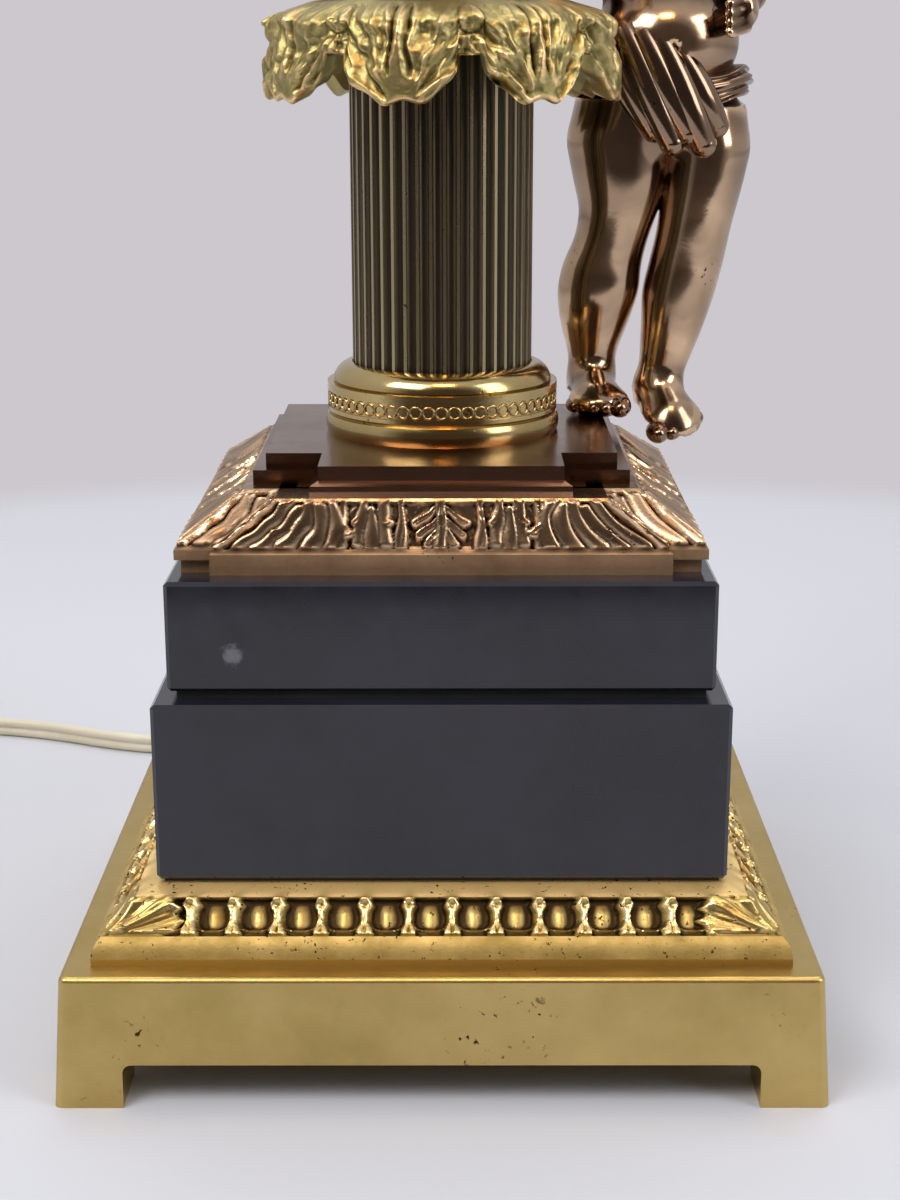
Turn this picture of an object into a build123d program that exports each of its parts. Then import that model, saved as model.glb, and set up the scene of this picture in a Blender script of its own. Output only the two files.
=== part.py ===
"""Figural table lamp: a putto stands beside a fluted column on a stepped marble and brass pedestal.

Millimetres, +Z up. The front faces -Y and the viewer's right is +X. The origin is the centre of the
base, on the surface that the lamp stands on.
"""

import os
from math import atan2, cos, degrees, hypot, radians, sin, tan

from build123d import *

os.makedirs("parts", exist_ok=True)

# ---------------------------------------------------------------- driving dimensions: pedestal

base_width = 178.0
plinth_height = 31.5
plinth_draft = 2.0
plinth_wall = 4.0
plinth_corner_radius = 2.0
shoulder_radius = 1.2
foot_width = 16.0
arch_height = 10.5
arch_radius = 2.0
seat_height = 1.6
moulding_width = 161.0
moulding_height = 12.9
moulding_opening = 112.0
moulding_lip_width = 142.8
eggs_per_side = 13
egg_pitch = 10.1
egg_radius = 3.9
egg_depth = 1.5
gasket_thickness = 0.8
gasket_inset = 1.7
lower_marble_width = 133.4
lower_marble_height = 42.85
upper_marble_width = 126.1
upper_marble_height = 26.0
marble_chamfer = 0.9
spacer_thickness = 2.15
spacer_inset = 2.0

mount_width = 122.8
mount_depth = 110.2
mount_height = 17.1
mount_wall = 5.0
mount_base_height = 3.2
mount_base_inset = 1.4
mount_fascia_height = 4.5
mount_side_slope = 14.4
mount_front_slope = 12.6
break_width = 106.2
break_depth = 113.0
break_fillet_height = 5.2
break_end_slope = 15.0
break_front_slope = 3.5

slab_width = 83.4
slab_depth = 67.0
slab_break_width = 56.7
slab_break_depth = 98.0
slab_step_height = 3.4
slab_top_height = 3.4
slab_step_side = 2.8
slab_step_front = 3.5
slab_break_side = 1.9
slab_break_front = 1.6

# ---------------------------------------------------------------- driving dimensions: column

ring_radius = 29.3
ring_height = 17.2
ring_floor = 4.0
ring_recess_depth = 2.9
column_radius = 22.36
column_wall = 2.2
column_height = 82.0
column_clearance = 0.2
flute_count = 43
flute_radius = 1.3
flute_depth = 0.95
disc_thickness = 2.0

capital_radius = 41.6
capital_height = 24.0
capital_web = 3.0
capital_web_depth = 4.0
capital_skin = 2.4
leaf_count = 8
leaf_turn = -12.6
leaf_gap_width = 27.0
leaf_gap_height = 13.5
leaf_curl_radius = 1.9
midrib_radius = 1.1

# ---------------------------------------------------------------- driving dimensions: stem and rod

rod_radius = 4.86
rod_bore_radius = 3.3
rod_clearance = 0.3
rod_drop = 8.5
rod_washer_radius = 19.0
rod_washer_thickness = 2.0
lock_washer_radius = 8.6
lock_washer_thickness = 1.4
rod_nut_width = 15.9
rod_nut_height = 4.0

stem_foot_radius = 9.6
stem_foot_height = 16.0
vase_radius = 19.0
vase_height = 62.0
collar_radius = 10.5
collar_height = 6.0
stem_tube_radius = 6.6
stem_tube_height = 46.0
check_ring_radius = 12.5
check_ring_height = 4.0

# ---------------------------------------------------------------- driving dimensions: socket and harp

saddle_thickness = 1.6
saddle_width = 12.0
saddle_span = 52.0
saddle_rise = 13.0
socket_cap_radius = 18.0
socket_cap_height = 23.0
socket_hub_radius = 8.0
socket_hub_height = 8.0
socket_wall = 1.1
socket_shell_radius = 16.6
socket_shell_height = 42.0
socket_lap = 5.0
liner_thickness = 0.8
liner_clearance = 0.2
insulator_radius = 14.3
insulator_height = 15.0
screw_shell_bore = 13.1
screw_shell_wall = 0.7
screw_shell_height = 24.0
contact_radius = 4.2
contact_height = 2.4
contact_recess = 1.8
contact_clearance = 0.2
knob_height = 10.0
knob_radius = 6.4
knob_length = 9.5
knob_flutes = 14
knob_stand_off = 5.0
knob_shaft_radius = 2.0
knob_running_fit = 0.05
knob_hole_clearance = 0.5

harp_wire_radius = 2.0
harp_height = 212.0
harp_half_width = 56.0
harp_disc_radius = 8.5
harp_disc_thickness = 2.0
stud_radius = 3.05
stud_height = 11.0
stud_running_fit = 0.06
finial_radius = 8.5
finial_height = 30.0
finial_bore_spare = 1.0
ferrule_length = 13.0
ferrule_wall = 1.0
ferrule_clearance = 0.35
ferrule_bead = 1.2
tongue_gap = 0.1

# ---------------------------------------------------------------- driving dimensions: putto

screw_radius = 2.0
screw_head_radius = 3.8
screw_head_height = 2.8
screw_grip = 8.5
screw_clearance = 0.3
putto_screw_x = 37.6
putto_screw_y = 27.5
sole_width = 15.6
putto_height = 185.0

# ---------------------------------------------------------------- driving dimensions: cord

cord_radius = 3.1
cord_exit_height = 20.5
cord_clearance = 0.15
relief_flange_radius = 6.4
relief_tip_radius = 4.2
relief_length = 20.0
relief_neck_radius = 4.9
relief_spot_depth = 0.6
coil_centre = (-219.0, 197.0)
coil_middle_radius = 33.0
coil_bundle_width = 13.4
coil_height = 12.8
plug_length = 26.0
plug_width = 24.0
plug_thickness = 15.0
plug_angle = 96.0
blade_spacing = 12.7
blade_width = 6.35
blade_thickness = 1.5
blade_length = 17.5

# ---------------------------------------------------------------- levels, from the floor up

seat_level = plinth_height + seat_height
moulding_top = seat_level + moulding_height
lower_marble_level = moulding_top + gasket_thickness
lower_marble_top = lower_marble_level + lower_marble_height
upper_marble_level = lower_marble_top + spacer_thickness
mount_level = upper_marble_level + upper_marble_height
slab_level = mount_level + mount_height
slab_top = slab_level + slab_step_height + slab_top_height
column_level = slab_top + ring_height - ring_recess_depth
column_top = column_level + column_height
capital_web_top = column_top + capital_web
capital_top = capital_web_top + capital_web_depth
vase_level = capital_web_top + stem_foot_height
collar_level = vase_level + vase_height
stem_tube_level = collar_level + collar_height
check_ring_level = stem_tube_level + stem_tube_height
saddle_level = check_ring_level + check_ring_height
socket_level = saddle_level + saddle_thickness
shell_level = socket_level + socket_cap_height - socket_lap
insulator_level = shell_level + 1.0
screw_shell_level = insulator_level + insulator_height
harp_foot_level = saddle_level + saddle_rise
harp_top = harp_foot_level + harp_height
disc_top = harp_top + harp_disc_thickness
rod_hole_radius = rod_radius + rod_clearance


def square_frustum(low, low_x, low_y, high, high_x, high_y, mode=Mode.ADD):
    """A straight-sided block whose rectangle changes from one level to a higher one."""
    with BuildSketch(Plane.XY.offset(low)) as lower:
        Rectangle(low_x, low_y)
    with BuildSketch(Plane.XY.offset(high)) as upper:
        Rectangle(high_x, high_y)
    loft([lower.sketch, upper.sketch], ruled=True, mode=mode)


def side_view(level):
    """The front-facing plane through the lamp's axis, with its origin at a level."""
    return Plane(origin=(0, 0, level), x_dir=(1, 0, 0), z_dir=(0, -1, 0))


def rod_hole(top, depth, radius=rod_hole_radius):
    """The hole on the lamp's axis that the threaded rod passes through."""
    with Locations((0, 0, top)):
        Hole(radius, depth)


# ---------------------------------------------------------------- brass plinth
# A cast brass box with drafted walls and four bracket feet. Its top carries a low square seat.

plinth_top_width = base_width - 2 * plinth_draft
plinth_ceiling = plinth_height - plinth_wall
cord_wall_y = base_width / 2 - plinth_draft * cord_exit_height / plinth_height - relief_spot_depth
cord_hole_radius = relief_neck_radius + cord_clearance

with BuildPart() as brass_plinth:
    with BuildSketch():
        RectangleRounded(base_width, base_width, plinth_corner_radius)
    with BuildSketch(Plane.XY.offset(plinth_height)):
        RectangleRounded(plinth_top_width, plinth_top_width, plinth_corner_radius)
    loft(ruled=True)
    fillet(edges().group_by(Axis.Z)[-1], shoulder_radius)
    square_frustum(
        arch_height,
        base_width - 2 * plinth_wall - plinth_draft,
        base_width - 2 * plinth_wall - plinth_draft,
        plinth_ceiling,
        plinth_top_width - 2 * plinth_wall,
        plinth_top_width - 2 * plinth_wall,
        mode=Mode.SUBTRACT,
    )
    for arch_plane in (Plane.XZ, Plane.YZ):
        with BuildSketch(arch_plane):
            RectangleRounded(base_width - 2 * foot_width, 2 * arch_height, arch_radius)
        extrude(amount=base_width, both=True, mode=Mode.SUBTRACT)
    with BuildSketch(Plane.XY.offset(plinth_height)):
        Rectangle(moulding_width, moulding_width)
    extrude(amount=seat_height)
    with Locations(Plane(origin=(0, base_width / 2, cord_exit_height), z_dir=(0, 1, 0))):
        CounterBoreHole(
            cord_hole_radius,
            relief_flange_radius + rod_clearance,
            base_width / 2 - cord_wall_y,
            2 * plinth_wall,
        )
    rod_hole(seat_level, 2 * plinth_wall)

brass_plinth.part.label = "brass_plinth"
export_step(brass_plinth.part, "parts/brass_plinth.step")

# ---------------------------------------------------------------- leaf moulding
# A cast brass frame on the seat: a plain band below, a cyma with a row of eggs, and a flat strip on top.

band_height = 4.7
band_setback = 2.3
moulding_step = 0.8
lip_drop = 1.4

moulding_half = moulding_width / 2
lip_half = moulding_lip_width / 2
cyma_foot = moulding_half - band_setback - moulding_step
cyma_rise = moulding_height - band_height - lip_drop
cyma_run = cyma_foot - lip_half
egg_tilt = degrees(atan2(cyma_rise, cyma_run))
opening_half = moulding_opening / 2

with BuildPart() as leaf_moulding:
    with BuildLine(Plane.XY.offset(seat_level)) as moulding_path:
        Polyline(
            (0, -opening_half),
            (opening_half, -opening_half),
            (opening_half, opening_half),
            (-opening_half, opening_half),
            (-opening_half, -opening_half),
            (0, -opening_half),
        )
    moulding_plane = Plane(origin=(0, 0, seat_level), x_dir=(0, -1, 0), z_dir=(-1, 0, 0))
    with BuildSketch(moulding_plane):
        with BuildLine():
            Line((opening_half, 0), (moulding_half, 0))
            ThreePointArc(
                (moulding_half, 0),
                (moulding_half - band_setback / 4, band_height * 0.6),
                (moulding_half - band_setback, band_height),
            )
            Line((moulding_half - band_setback, band_height), (cyma_foot, band_height))
            ThreePointArc(
                (cyma_foot, band_height),
                (lip_half + cyma_run * 0.58, band_height + cyma_rise * 0.58),
                (lip_half, band_height + cyma_rise),
            )
            Polyline(
                (lip_half, band_height + cyma_rise),
                (lower_marble_width / 2 - gasket_inset, moulding_height),
                (opening_half, moulding_height),
                (opening_half, 0),
            )
        make_face()
    sweep(path=moulding_path.wire(), transition=Transition.RIGHT)
    egg_out = lip_half + cyma_run / 2 + (egg_radius - egg_depth) * sin(radians(egg_tilt))
    egg_up = seat_level + band_height + cyma_rise / 2 + (egg_radius - egg_depth) * cos(radians(egg_tilt))
    for side in range(4):
        for egg in range(eggs_per_side):
            across = (egg - (eggs_per_side - 1) / 2) * egg_pitch
            spot = Location((0, 0, 0), (0, 0, 90 * side)) * Location(
                (across, -egg_out, egg_up), (egg_tilt - 90, 0, 0)
            )
            with Locations(spot):
                Cylinder(egg_radius, hypot(cyma_rise, cyma_run) * 0.86, mode=Mode.SUBTRACT)

leaf_moulding.part.label = "leaf_moulding"
export_step(leaf_moulding.part, "parts/leaf_moulding.step")

# ---------------------------------------------------------------- marble blocks, gasket and spacer
# Two black marble blocks, each on a thin dark sheet that is set back from the faces above and below.

with BuildPart() as moulding_gasket:
    with BuildSketch(Plane.XY.offset(moulding_top)):
        Rectangle(lower_marble_width - 2 * gasket_inset, lower_marble_width - 2 * gasket_inset)
    extrude(amount=gasket_thickness)
    rod_hole(lower_marble_level, gasket_thickness)

moulding_gasket.part.label = "moulding_gasket"
export_step(moulding_gasket.part, "parts/moulding_gasket.step")

with BuildPart() as lower_marble_block:
    with BuildSketch(Plane.XY.offset(lower_marble_level)):
        Rectangle(lower_marble_width, lower_marble_width)
    extrude(amount=lower_marble_height)
    chamfer(edges(), marble_chamfer)
    rod_hole(lower_marble_top, lower_marble_height)

lower_marble_block.part.label = "lower_marble_block"
export_step(lower_marble_block.part, "parts/lower_marble_block.step")

with BuildPart() as marble_spacer:
    with BuildSketch(Plane.XY.offset(lower_marble_top)):
        Rectangle(upper_marble_width - 2 * spacer_inset, upper_marble_width - 2 * spacer_inset)
    extrude(amount=spacer_thickness)
    rod_hole(upper_marble_level, spacer_thickness)

marble_spacer.part.label = "marble_spacer"
export_step(marble_spacer.part, "parts/marble_spacer.step")

with BuildPart() as upper_marble_block:
    with BuildSketch(Plane.XY.offset(upper_marble_level)):
        Rectangle(upper_marble_width, upper_marble_width)
    extrude(amount=upper_marble_height)
    chamfer(edges(), marble_chamfer)
    rod_hole(mount_level, upper_marble_height)

upper_marble_block.part.label = "upper_marble_block"
export_step(upper_marble_block.part, "parts/upper_marble_block.step")

# ---------------------------------------------------------------- acanthus mount
# A hollow bronze casting: sloping leaf borders on four sides, with a steeper breakfront front and back.

mount_fascia_level = mount_level + mount_base_height
mount_slope_level = mount_fascia_level + mount_fascia_height
break_slope_level = mount_level + break_fillet_height
cavity_top = slab_level - mount_wall

with BuildPart() as acanthus_mount:
    with BuildSketch(Plane.XY.offset(mount_level)):
        Rectangle(mount_width - 2 * mount_base_inset, mount_depth - 2 * mount_base_inset)
    extrude(amount=mount_base_height)
    with BuildSketch(Plane.XY.offset(mount_fascia_level)):
        Rectangle(mount_width, mount_depth)
    extrude(amount=mount_fascia_height)
    square_frustum(
        mount_slope_level,
        mount_width,
        mount_depth,
        slab_level,
        mount_width - 2 * mount_side_slope,
        mount_depth - 2 * mount_front_slope,
    )
    with BuildSketch(Plane.XY.offset(mount_level)):
        Rectangle(break_width, break_depth)
    extrude(amount=break_fillet_height)
    square_frustum(
        break_slope_level,
        break_width,
        break_depth,
        slab_level,
        break_width - 2 * break_end_slope,
        break_depth - 2 * break_front_slope,
    )
    square_frustum(
        mount_level,
        mount_width - 2 * mount_side_slope,
        mount_depth - 2 * mount_front_slope,
        cavity_top,
        mount_width - 2 * mount_side_slope - 2 * mount_wall,
        mount_depth - 2 * mount_front_slope - 2 * mount_wall,
        mode=Mode.SUBTRACT,
    )
    rod_hole(slab_level, 2 * mount_wall)
    with Locations((putto_screw_x, putto_screw_y, slab_level)):
        Hole(screw_radius + screw_clearance, 2 * mount_wall)

acanthus_mount.part.label = "acanthus_mount"
export_step(acanthus_mount.part, "parts/acanthus_mount.step")

# ---------------------------------------------------------------- stepped slab
# The flat bronze top of the pedestal, in two steps, with its middle brought forward front and back.

slab_step_level = slab_level + slab_step_height

with BuildPart() as stepped_slab:
    with BuildSketch(Plane.XY.offset(slab_level)):
        Rectangle(slab_width + 2 * slab_step_side, slab_depth + 2 * slab_step_front)
    extrude(amount=slab_step_height)
    square_frustum(
        slab_level,
        slab_break_width + 2 * slab_break_side,
        slab_break_depth + 4 * slab_break_front,
        slab_level + slab_step_height * 0.35,
        slab_break_width + 2 * slab_break_side,
        slab_break_depth + 2 * slab_break_front,
    )
    with BuildSketch(Plane.XY.offset(slab_level)):
        Rectangle(slab_break_width + 2 * slab_break_side, slab_break_depth + 2 * slab_break_front)
    extrude(amount=slab_step_height * 0.7)
    square_frustum(
        slab_level + slab_step_height * 0.7,
        slab_break_width + 2 * slab_break_side,
        slab_break_depth + 2 * slab_break_front,
        slab_step_level,
        slab_break_width,
        slab_break_depth,
    )
    with BuildSketch(Plane.XY.offset(slab_step_level)):
        Rectangle(slab_width, slab_depth)
        Rectangle(slab_break_width, slab_break_depth)
    extrude(amount=slab_top_height)
    rod_hole(slab_top, slab_step_height + slab_top_height)
    with Locations((putto_screw_x, putto_screw_y, slab_top)):
        Hole(screw_radius + screw_clearance, slab_step_height + slab_top_height)

stepped_slab.part.label = "stepped_slab"
export_step(stepped_slab.part, "parts/stepped_slab.step")

# ---------------------------------------------------------------- column foot ring
# A spun brass ring: a torus, a fillet, a flat band between fillets, a groove and a polished dome.

torus_height = 4.6
torus_bulge = 0.5
lower_fillet_height = 1.9
band_level = 6.5
band_top = 10.4
upper_fillet_top = 12.4
groove_depth = 1.9
ring_band_radius = ring_radius - 0.9
dome_radius = ring_radius - 2.0
column_seat_radius = column_radius + column_clearance
ring_inner_radius = column_radius - column_wall - 1.0

with BuildPart() as column_foot_ring:
    with BuildSketch(side_view(slab_top)):
        with BuildLine():
            ring_foot = Line((rod_hole_radius, 0), (ring_radius - torus_bulge, 0))
            ThreePointArc(
                ring_foot @ 1,
                (ring_radius, torus_height / 2),
                (ring_radius - torus_bulge, torus_height),
            )
            Polyline(
                (ring_radius - torus_bulge, torus_height),
                (ring_radius - 2 * torus_bulge, torus_height),
                (ring_radius - torus_bulge, torus_height + lower_fillet_height / 2),
                (ring_radius - torus_bulge, band_level),
                (ring_band_radius, band_level),
                (ring_band_radius, band_top),
                (ring_radius - torus_bulge, band_top),
                (ring_radius - torus_bulge, upper_fillet_top),
                (ring_radius - groove_depth - torus_bulge, upper_fillet_top),
                (dome_radius, upper_fillet_top + torus_bulge),
            )
            ThreePointArc(
                (dome_radius, upper_fillet_top + torus_bulge),
                (dome_radius - 1.3, ring_height - 1.6),
                (column_seat_radius, ring_height),
            )
            Polyline(
                (column_seat_radius, ring_height),
                (column_seat_radius, ring_height - ring_recess_depth),
                (ring_inner_radius, ring_height - ring_recess_depth),
                (ring_inner_radius, ring_floor),
                (rod_hole_radius, ring_floor),
                (rod_hole_radius, 0),
            )
        make_face()
    revolve(axis=Axis.Z)

column_foot_ring.part.label = "column_foot_ring"
export_step(column_foot_ring.part, "parts/column_foot_ring.step")

# ---------------------------------------------------------------- fluted column
# A drawn brass tube with narrow flutes all round, centred on the rod by a disc in each end.

column_bore_radius = column_radius - column_wall

with BuildPart() as fluted_column:
    with BuildSketch(Plane.XY.offset(column_level)):
        Circle(column_radius)
        with PolarLocations(column_radius + flute_radius - flute_depth, flute_count):
            Circle(flute_radius, mode=Mode.SUBTRACT)
        Circle(column_bore_radius, mode=Mode.SUBTRACT)
    extrude(amount=column_height)

fluted_column.part.label = "fluted_column"
export_step(fluted_column.part, "parts/fluted_column.step")

with BuildPart() as column_centring_discs:
    for disc_level in (column_level, column_top - disc_thickness):
        with BuildSketch(Plane.XY.offset(disc_level)):
            Circle(column_bore_radius - column_clearance)
            Circle(rod_hole_radius, mode=Mode.SUBTRACT)
        extrude(amount=disc_thickness)

column_centring_discs.part.label = "column_centring_discs"
export_step(column_centring_discs.part, "parts/column_centring_discs.step")

# ---------------------------------------------------------------- leaf capital
# A gilt casting: a web on top of the column, and a bell of eight leaves that hang clear of it.

capital_level = capital_top - capital_height
leaf_shoulder = capital_radius - 2.6
leaf_pitch = 360 / leaf_count

with BuildPart() as leaf_capital:
    with BuildSketch(Plane.XZ):
        with BuildLine():
            bell_outside = Spline(
                (capital_radius * 0.74, capital_top),
                (leaf_shoulder, capital_top - 4.2),
                (capital_radius - 1.4, capital_level + 10),
                (capital_radius, capital_level + leaf_curl_radius),
            )
            bell_lip = Line(bell_outside @ 1, (capital_radius - capital_skin, capital_level + leaf_curl_radius))
            bell_inside = Spline(
                bell_lip @ 1,
                (capital_radius - 1.4 - capital_skin, capital_level + 10),
                (leaf_shoulder - capital_skin - 1.0, column_top - 1.0),
                (capital_radius * 0.74 - 1.0, column_top),
            )
            Polyline(
                bell_inside @ 1,
                (rod_hole_radius, column_top),
                (rod_hole_radius, capital_web_top),
                (capital_radius * 0.62, capital_web_top),
                bell_outside @ 0,
            )
        make_face()
    revolve(axis=Axis.Z)
    with BuildSketch(Plane.XZ):
        with Locations((capital_radius - capital_skin / 2, capital_level + leaf_curl_radius)):
            Circle(leaf_curl_radius)
    revolve(axis=Axis.Z)
    for leaf in range(leaf_count):
        gap_angle = leaf_turn - 90 + (leaf + 0.5) * leaf_pitch
        outward = Vector(cos(radians(gap_angle)), sin(radians(gap_angle)), 0)
        gap_plane = Plane(
            origin=(outward.X * column_radius, outward.Y * column_radius, capital_level - 0.5),
            x_dir=(-outward.Y, outward.X, 0),
            z_dir=outward,
        )
        with BuildSketch(gap_plane):
            with BuildLine():
                Line((leaf_gap_width / 2, 0), (-leaf_gap_width / 2, 0))
                ThreePointArc(
                    (-leaf_gap_width / 2, 0),
                    (-leaf_gap_width * 0.27, leaf_gap_height * 0.45),
                    (0, leaf_gap_height),
                )
                ThreePointArc(
                    (0, leaf_gap_height),
                    (leaf_gap_width * 0.27, leaf_gap_height * 0.45),
                    (leaf_gap_width / 2, 0),
                )
            make_face()
        extrude(amount=capital_radius, mode=Mode.SUBTRACT)
        rib_angle = leaf_turn - 90 + leaf * leaf_pitch
        rib_spot = Location((0, 0, 0), (0, 0, rib_angle)) * Location(
            (capital_radius + midrib_radius * 0.1, 0, capital_level + capital_height * 0.55)
        )
        with Locations(rib_spot):
            Cylinder(midrib_radius, capital_height * 0.6, mode=Mode.SUBTRACT)

leaf_capital.part.label = "leaf_capital"
export_step(leaf_capital.part, "parts/leaf_capital.step")

# ---------------------------------------------------------------- stem foot, vase, collar and tube
# Turned pieces threaded over the rod above the capital: bronze foot and vase, brass collar and tube.

with BuildPart() as stem_foot:
    with BuildSketch(side_view(capital_web_top)):
        with BuildLine():
            foot_side = Polyline(
                (rod_hole_radius, 0),
                (stem_foot_radius + 1.2, 0),
                (stem_foot_radius + 1.2, 2.0),
                (stem_foot_radius, 2.6),
                (stem_foot_radius, 6.2),
            )
            foot_waist = ThreePointArc(
                foot_side @ 1,
                (stem_foot_radius - 3.2, 10.0),
                (stem_foot_radius - 1.6, stem_foot_height - 2.2),
            )
            Polyline(
                foot_waist @ 1,
                (stem_foot_radius - 0.4, stem_foot_height - 2.2),
                (stem_foot_radius - 0.4, stem_foot_height),
                (rod_hole_radius, stem_foot_height),
                (rod_hole_radius, 0),
            )
        make_face()
    revolve(axis=Axis.Z)

stem_foot.part.label = "stem_foot"
export_step(stem_foot.part, "parts/stem_foot.step")

with BuildPart() as stem_vase:
    with BuildSketch(side_view(vase_level)):
        with BuildLine():
            vase_foot = Line((rod_hole_radius, 0), (stem_foot_radius - 1.4, 0))
            vase_side = Spline(
                vase_foot @ 1,
                (stem_foot_radius - 2.2, vase_height * 0.09),
                (vase_radius * 0.82, vase_height * 0.38),
                (vase_radius, vase_height * 0.66),
                (vase_radius * 0.80, vase_height * 0.82),
                (collar_radius - 2.6, vase_height * 0.93),
            )
            vase_lip = ThreePointArc(
                vase_side @ 1,
                (collar_radius - 2.0, vase_height * 0.97),
                (collar_radius - 0.2, vase_height),
            )
            Polyline(vase_lip @ 1, (rod_hole_radius, vase_height), (rod_hole_radius, 0))
        make_face()
    revolve(axis=Axis.Z)

stem_vase.part.label = "stem_vase"
export_step(stem_vase.part, "parts/stem_vase.step")

with BuildPart() as vase_collar:
    with BuildSketch(side_view(collar_level)):
        with BuildLine():
            collar_foot = Line((rod_hole_radius, 0), (collar_radius - 1.0, 0))
            collar_torus = ThreePointArc(
                collar_foot @ 1,
                (collar_radius, collar_height * 0.28),
                (collar_radius - 1.0, collar_height * 0.55),
            )
            Polyline(
                collar_torus @ 1,
                (stem_tube_radius + 1.4, collar_height * 0.7),
                (stem_tube_radius + 1.4, collar_height),
                (rod_hole_radius, collar_height),
                (rod_hole_radius, 0),
            )
        make_face()
    revolve(axis=Axis.Z)

vase_collar.part.label = "vase_collar"
export_step(vase_collar.part, "parts/vase_collar.step")

with BuildPart() as stem_tube:
    with BuildSketch(Plane.XY.offset(stem_tube_level)):
        Circle(stem_tube_radius)
        Circle(rod_hole_radius, mode=Mode.SUBTRACT)
    extrude(amount=stem_tube_height)

stem_tube.part.label = "stem_tube"
export_step(stem_tube.part, "parts/stem_tube.step")

with BuildPart() as check_ring:
    with BuildSketch(side_view(check_ring_level)):
        with BuildLine():
            check_foot = Line((rod_hole_radius, 0), (check_ring_radius - 3.0, 0))
            check_side = ThreePointArc(
                check_foot @ 1,
                (check_ring_radius - 0.6, check_ring_height * 0.3),
                (check_ring_radius, check_ring_height),
            )
            Polyline(check_side @ 1, (rod_hole_radius, check_ring_height), (rod_hole_radius, 0))
        make_face()
    revolve(axis=Axis.Z)

check_ring.part.label = "check_ring"
export_step(check_ring.part, "parts/check_ring.step")

# ---------------------------------------------------------------- threaded rod, washers and nut
# One hollow rod clamps the whole stack between the nut under the plinth and the hub of the socket.

rod_bottom = plinth_ceiling - rod_drop
rod_top = socket_level + socket_hub_height

with BuildPart() as threaded_rod:
    with BuildSketch(Plane.XY.offset(rod_bottom)):
        Circle(rod_radius)
        Circle(rod_bore_radius, mode=Mode.SUBTRACT)
    extrude(amount=rod_top - rod_bottom)
    chamfer(edges().filter_by(GeomType.CIRCLE).group_by(SortBy.RADIUS)[-1], 0.5)

threaded_rod.part.label = "threaded_rod"
export_step(threaded_rod.part, "parts/threaded_rod.step")

with BuildPart() as rod_washer:
    with BuildSketch(Plane.XY.offset(plinth_ceiling - rod_washer_thickness)):
        Circle(rod_washer_radius)
        Circle(rod_hole_radius, mode=Mode.SUBTRACT)
    extrude(amount=rod_washer_thickness)

rod_washer.part.label = "rod_washer"
export_step(rod_washer.part, "parts/rod_washer.step")

lock_washer_level = plinth_ceiling - rod_washer_thickness - lock_washer_thickness
lock_washer_split = 1.2

with BuildPart() as rod_lock_washer:
    with BuildSketch(Plane.XY.offset(lock_washer_level)):
        Circle(lock_washer_radius)
        Circle(rod_hole_radius, mode=Mode.SUBTRACT)
        with Locations((lock_washer_radius, 0)):
            Rectangle(2 * (lock_washer_radius - rod_radius) + 1, lock_washer_split, mode=Mode.SUBTRACT)
    extrude(amount=lock_washer_thickness)

rod_lock_washer.part.label = "rod_lock_washer"
export_step(rod_lock_washer.part, "parts/rod_lock_washer.step")

with BuildPart() as rod_nut:
    with BuildSketch(Plane.XY.offset(lock_washer_level - rod_nut_height)):
        RegularPolygon(rod_nut_width / 2, 6, major_radius=False)
        Circle(rod_radius + 0.05, mode=Mode.SUBTRACT)
    extrude(amount=rod_nut_height)

rod_nut.part.label = "rod_nut"
export_step(rod_nut.part, "parts/rod_nut.step")

# ---------------------------------------------------------------- harp saddle
# A bent strap clamped under the socket. Each end turns up and ends in a half-round tongue.

arm_x = saddle_span / 2
tongue_bottom = harp_foot_level - ferrule_bead
shoulder_radius_harp = harp_wire_radius + ferrule_clearance + ferrule_wall

with BuildPart() as harp_saddle:
    with BuildSketch(Plane.XZ.offset(-saddle_width / 2)):
        with BuildLine():
            saddle_line = FilletPolyline(
                (-arm_x, tongue_bottom),
                (-arm_x, saddle_level + saddle_thickness / 2),
                (arm_x, saddle_level + saddle_thickness / 2),
                (arm_x, tongue_bottom),
                radius=4.0,
            )
        trace(saddle_line, saddle_thickness)
    extrude(amount=saddle_width)
    rod_hole(socket_level, 2 * saddle_thickness)
    for sign in (-1, 1):
        with BuildSketch(Plane.XY.offset(tongue_bottom)):
            with Locations((sign * arm_x, 0)):
                Circle(shoulder_radius_harp)
        extrude(amount=ferrule_bead)
        with BuildSketch(Plane.XY.offset(harp_foot_level)):
            with Locations((sign * arm_x, 0)):
                Circle(harp_wire_radius)
            with Locations((sign * (arm_x + harp_wire_radius - tongue_gap / 2), 0)):
                Rectangle(2 * harp_wire_radius, 2 * harp_wire_radius, mode=Mode.SUBTRACT)
        extrude(amount=ferrule_length * 0.7)

harp_saddle.part.label = "harp_saddle"
export_step(harp_saddle.part, "parts/harp_saddle.step")

# ---------------------------------------------------------------- socket cap and shell
# A spun brass cap screws on the rod; the brass shell laps inside it and has the switch hole in front.

cap_inner = socket_cap_radius - socket_wall
knob_level = insulator_level + knob_height - 2.0

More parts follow.
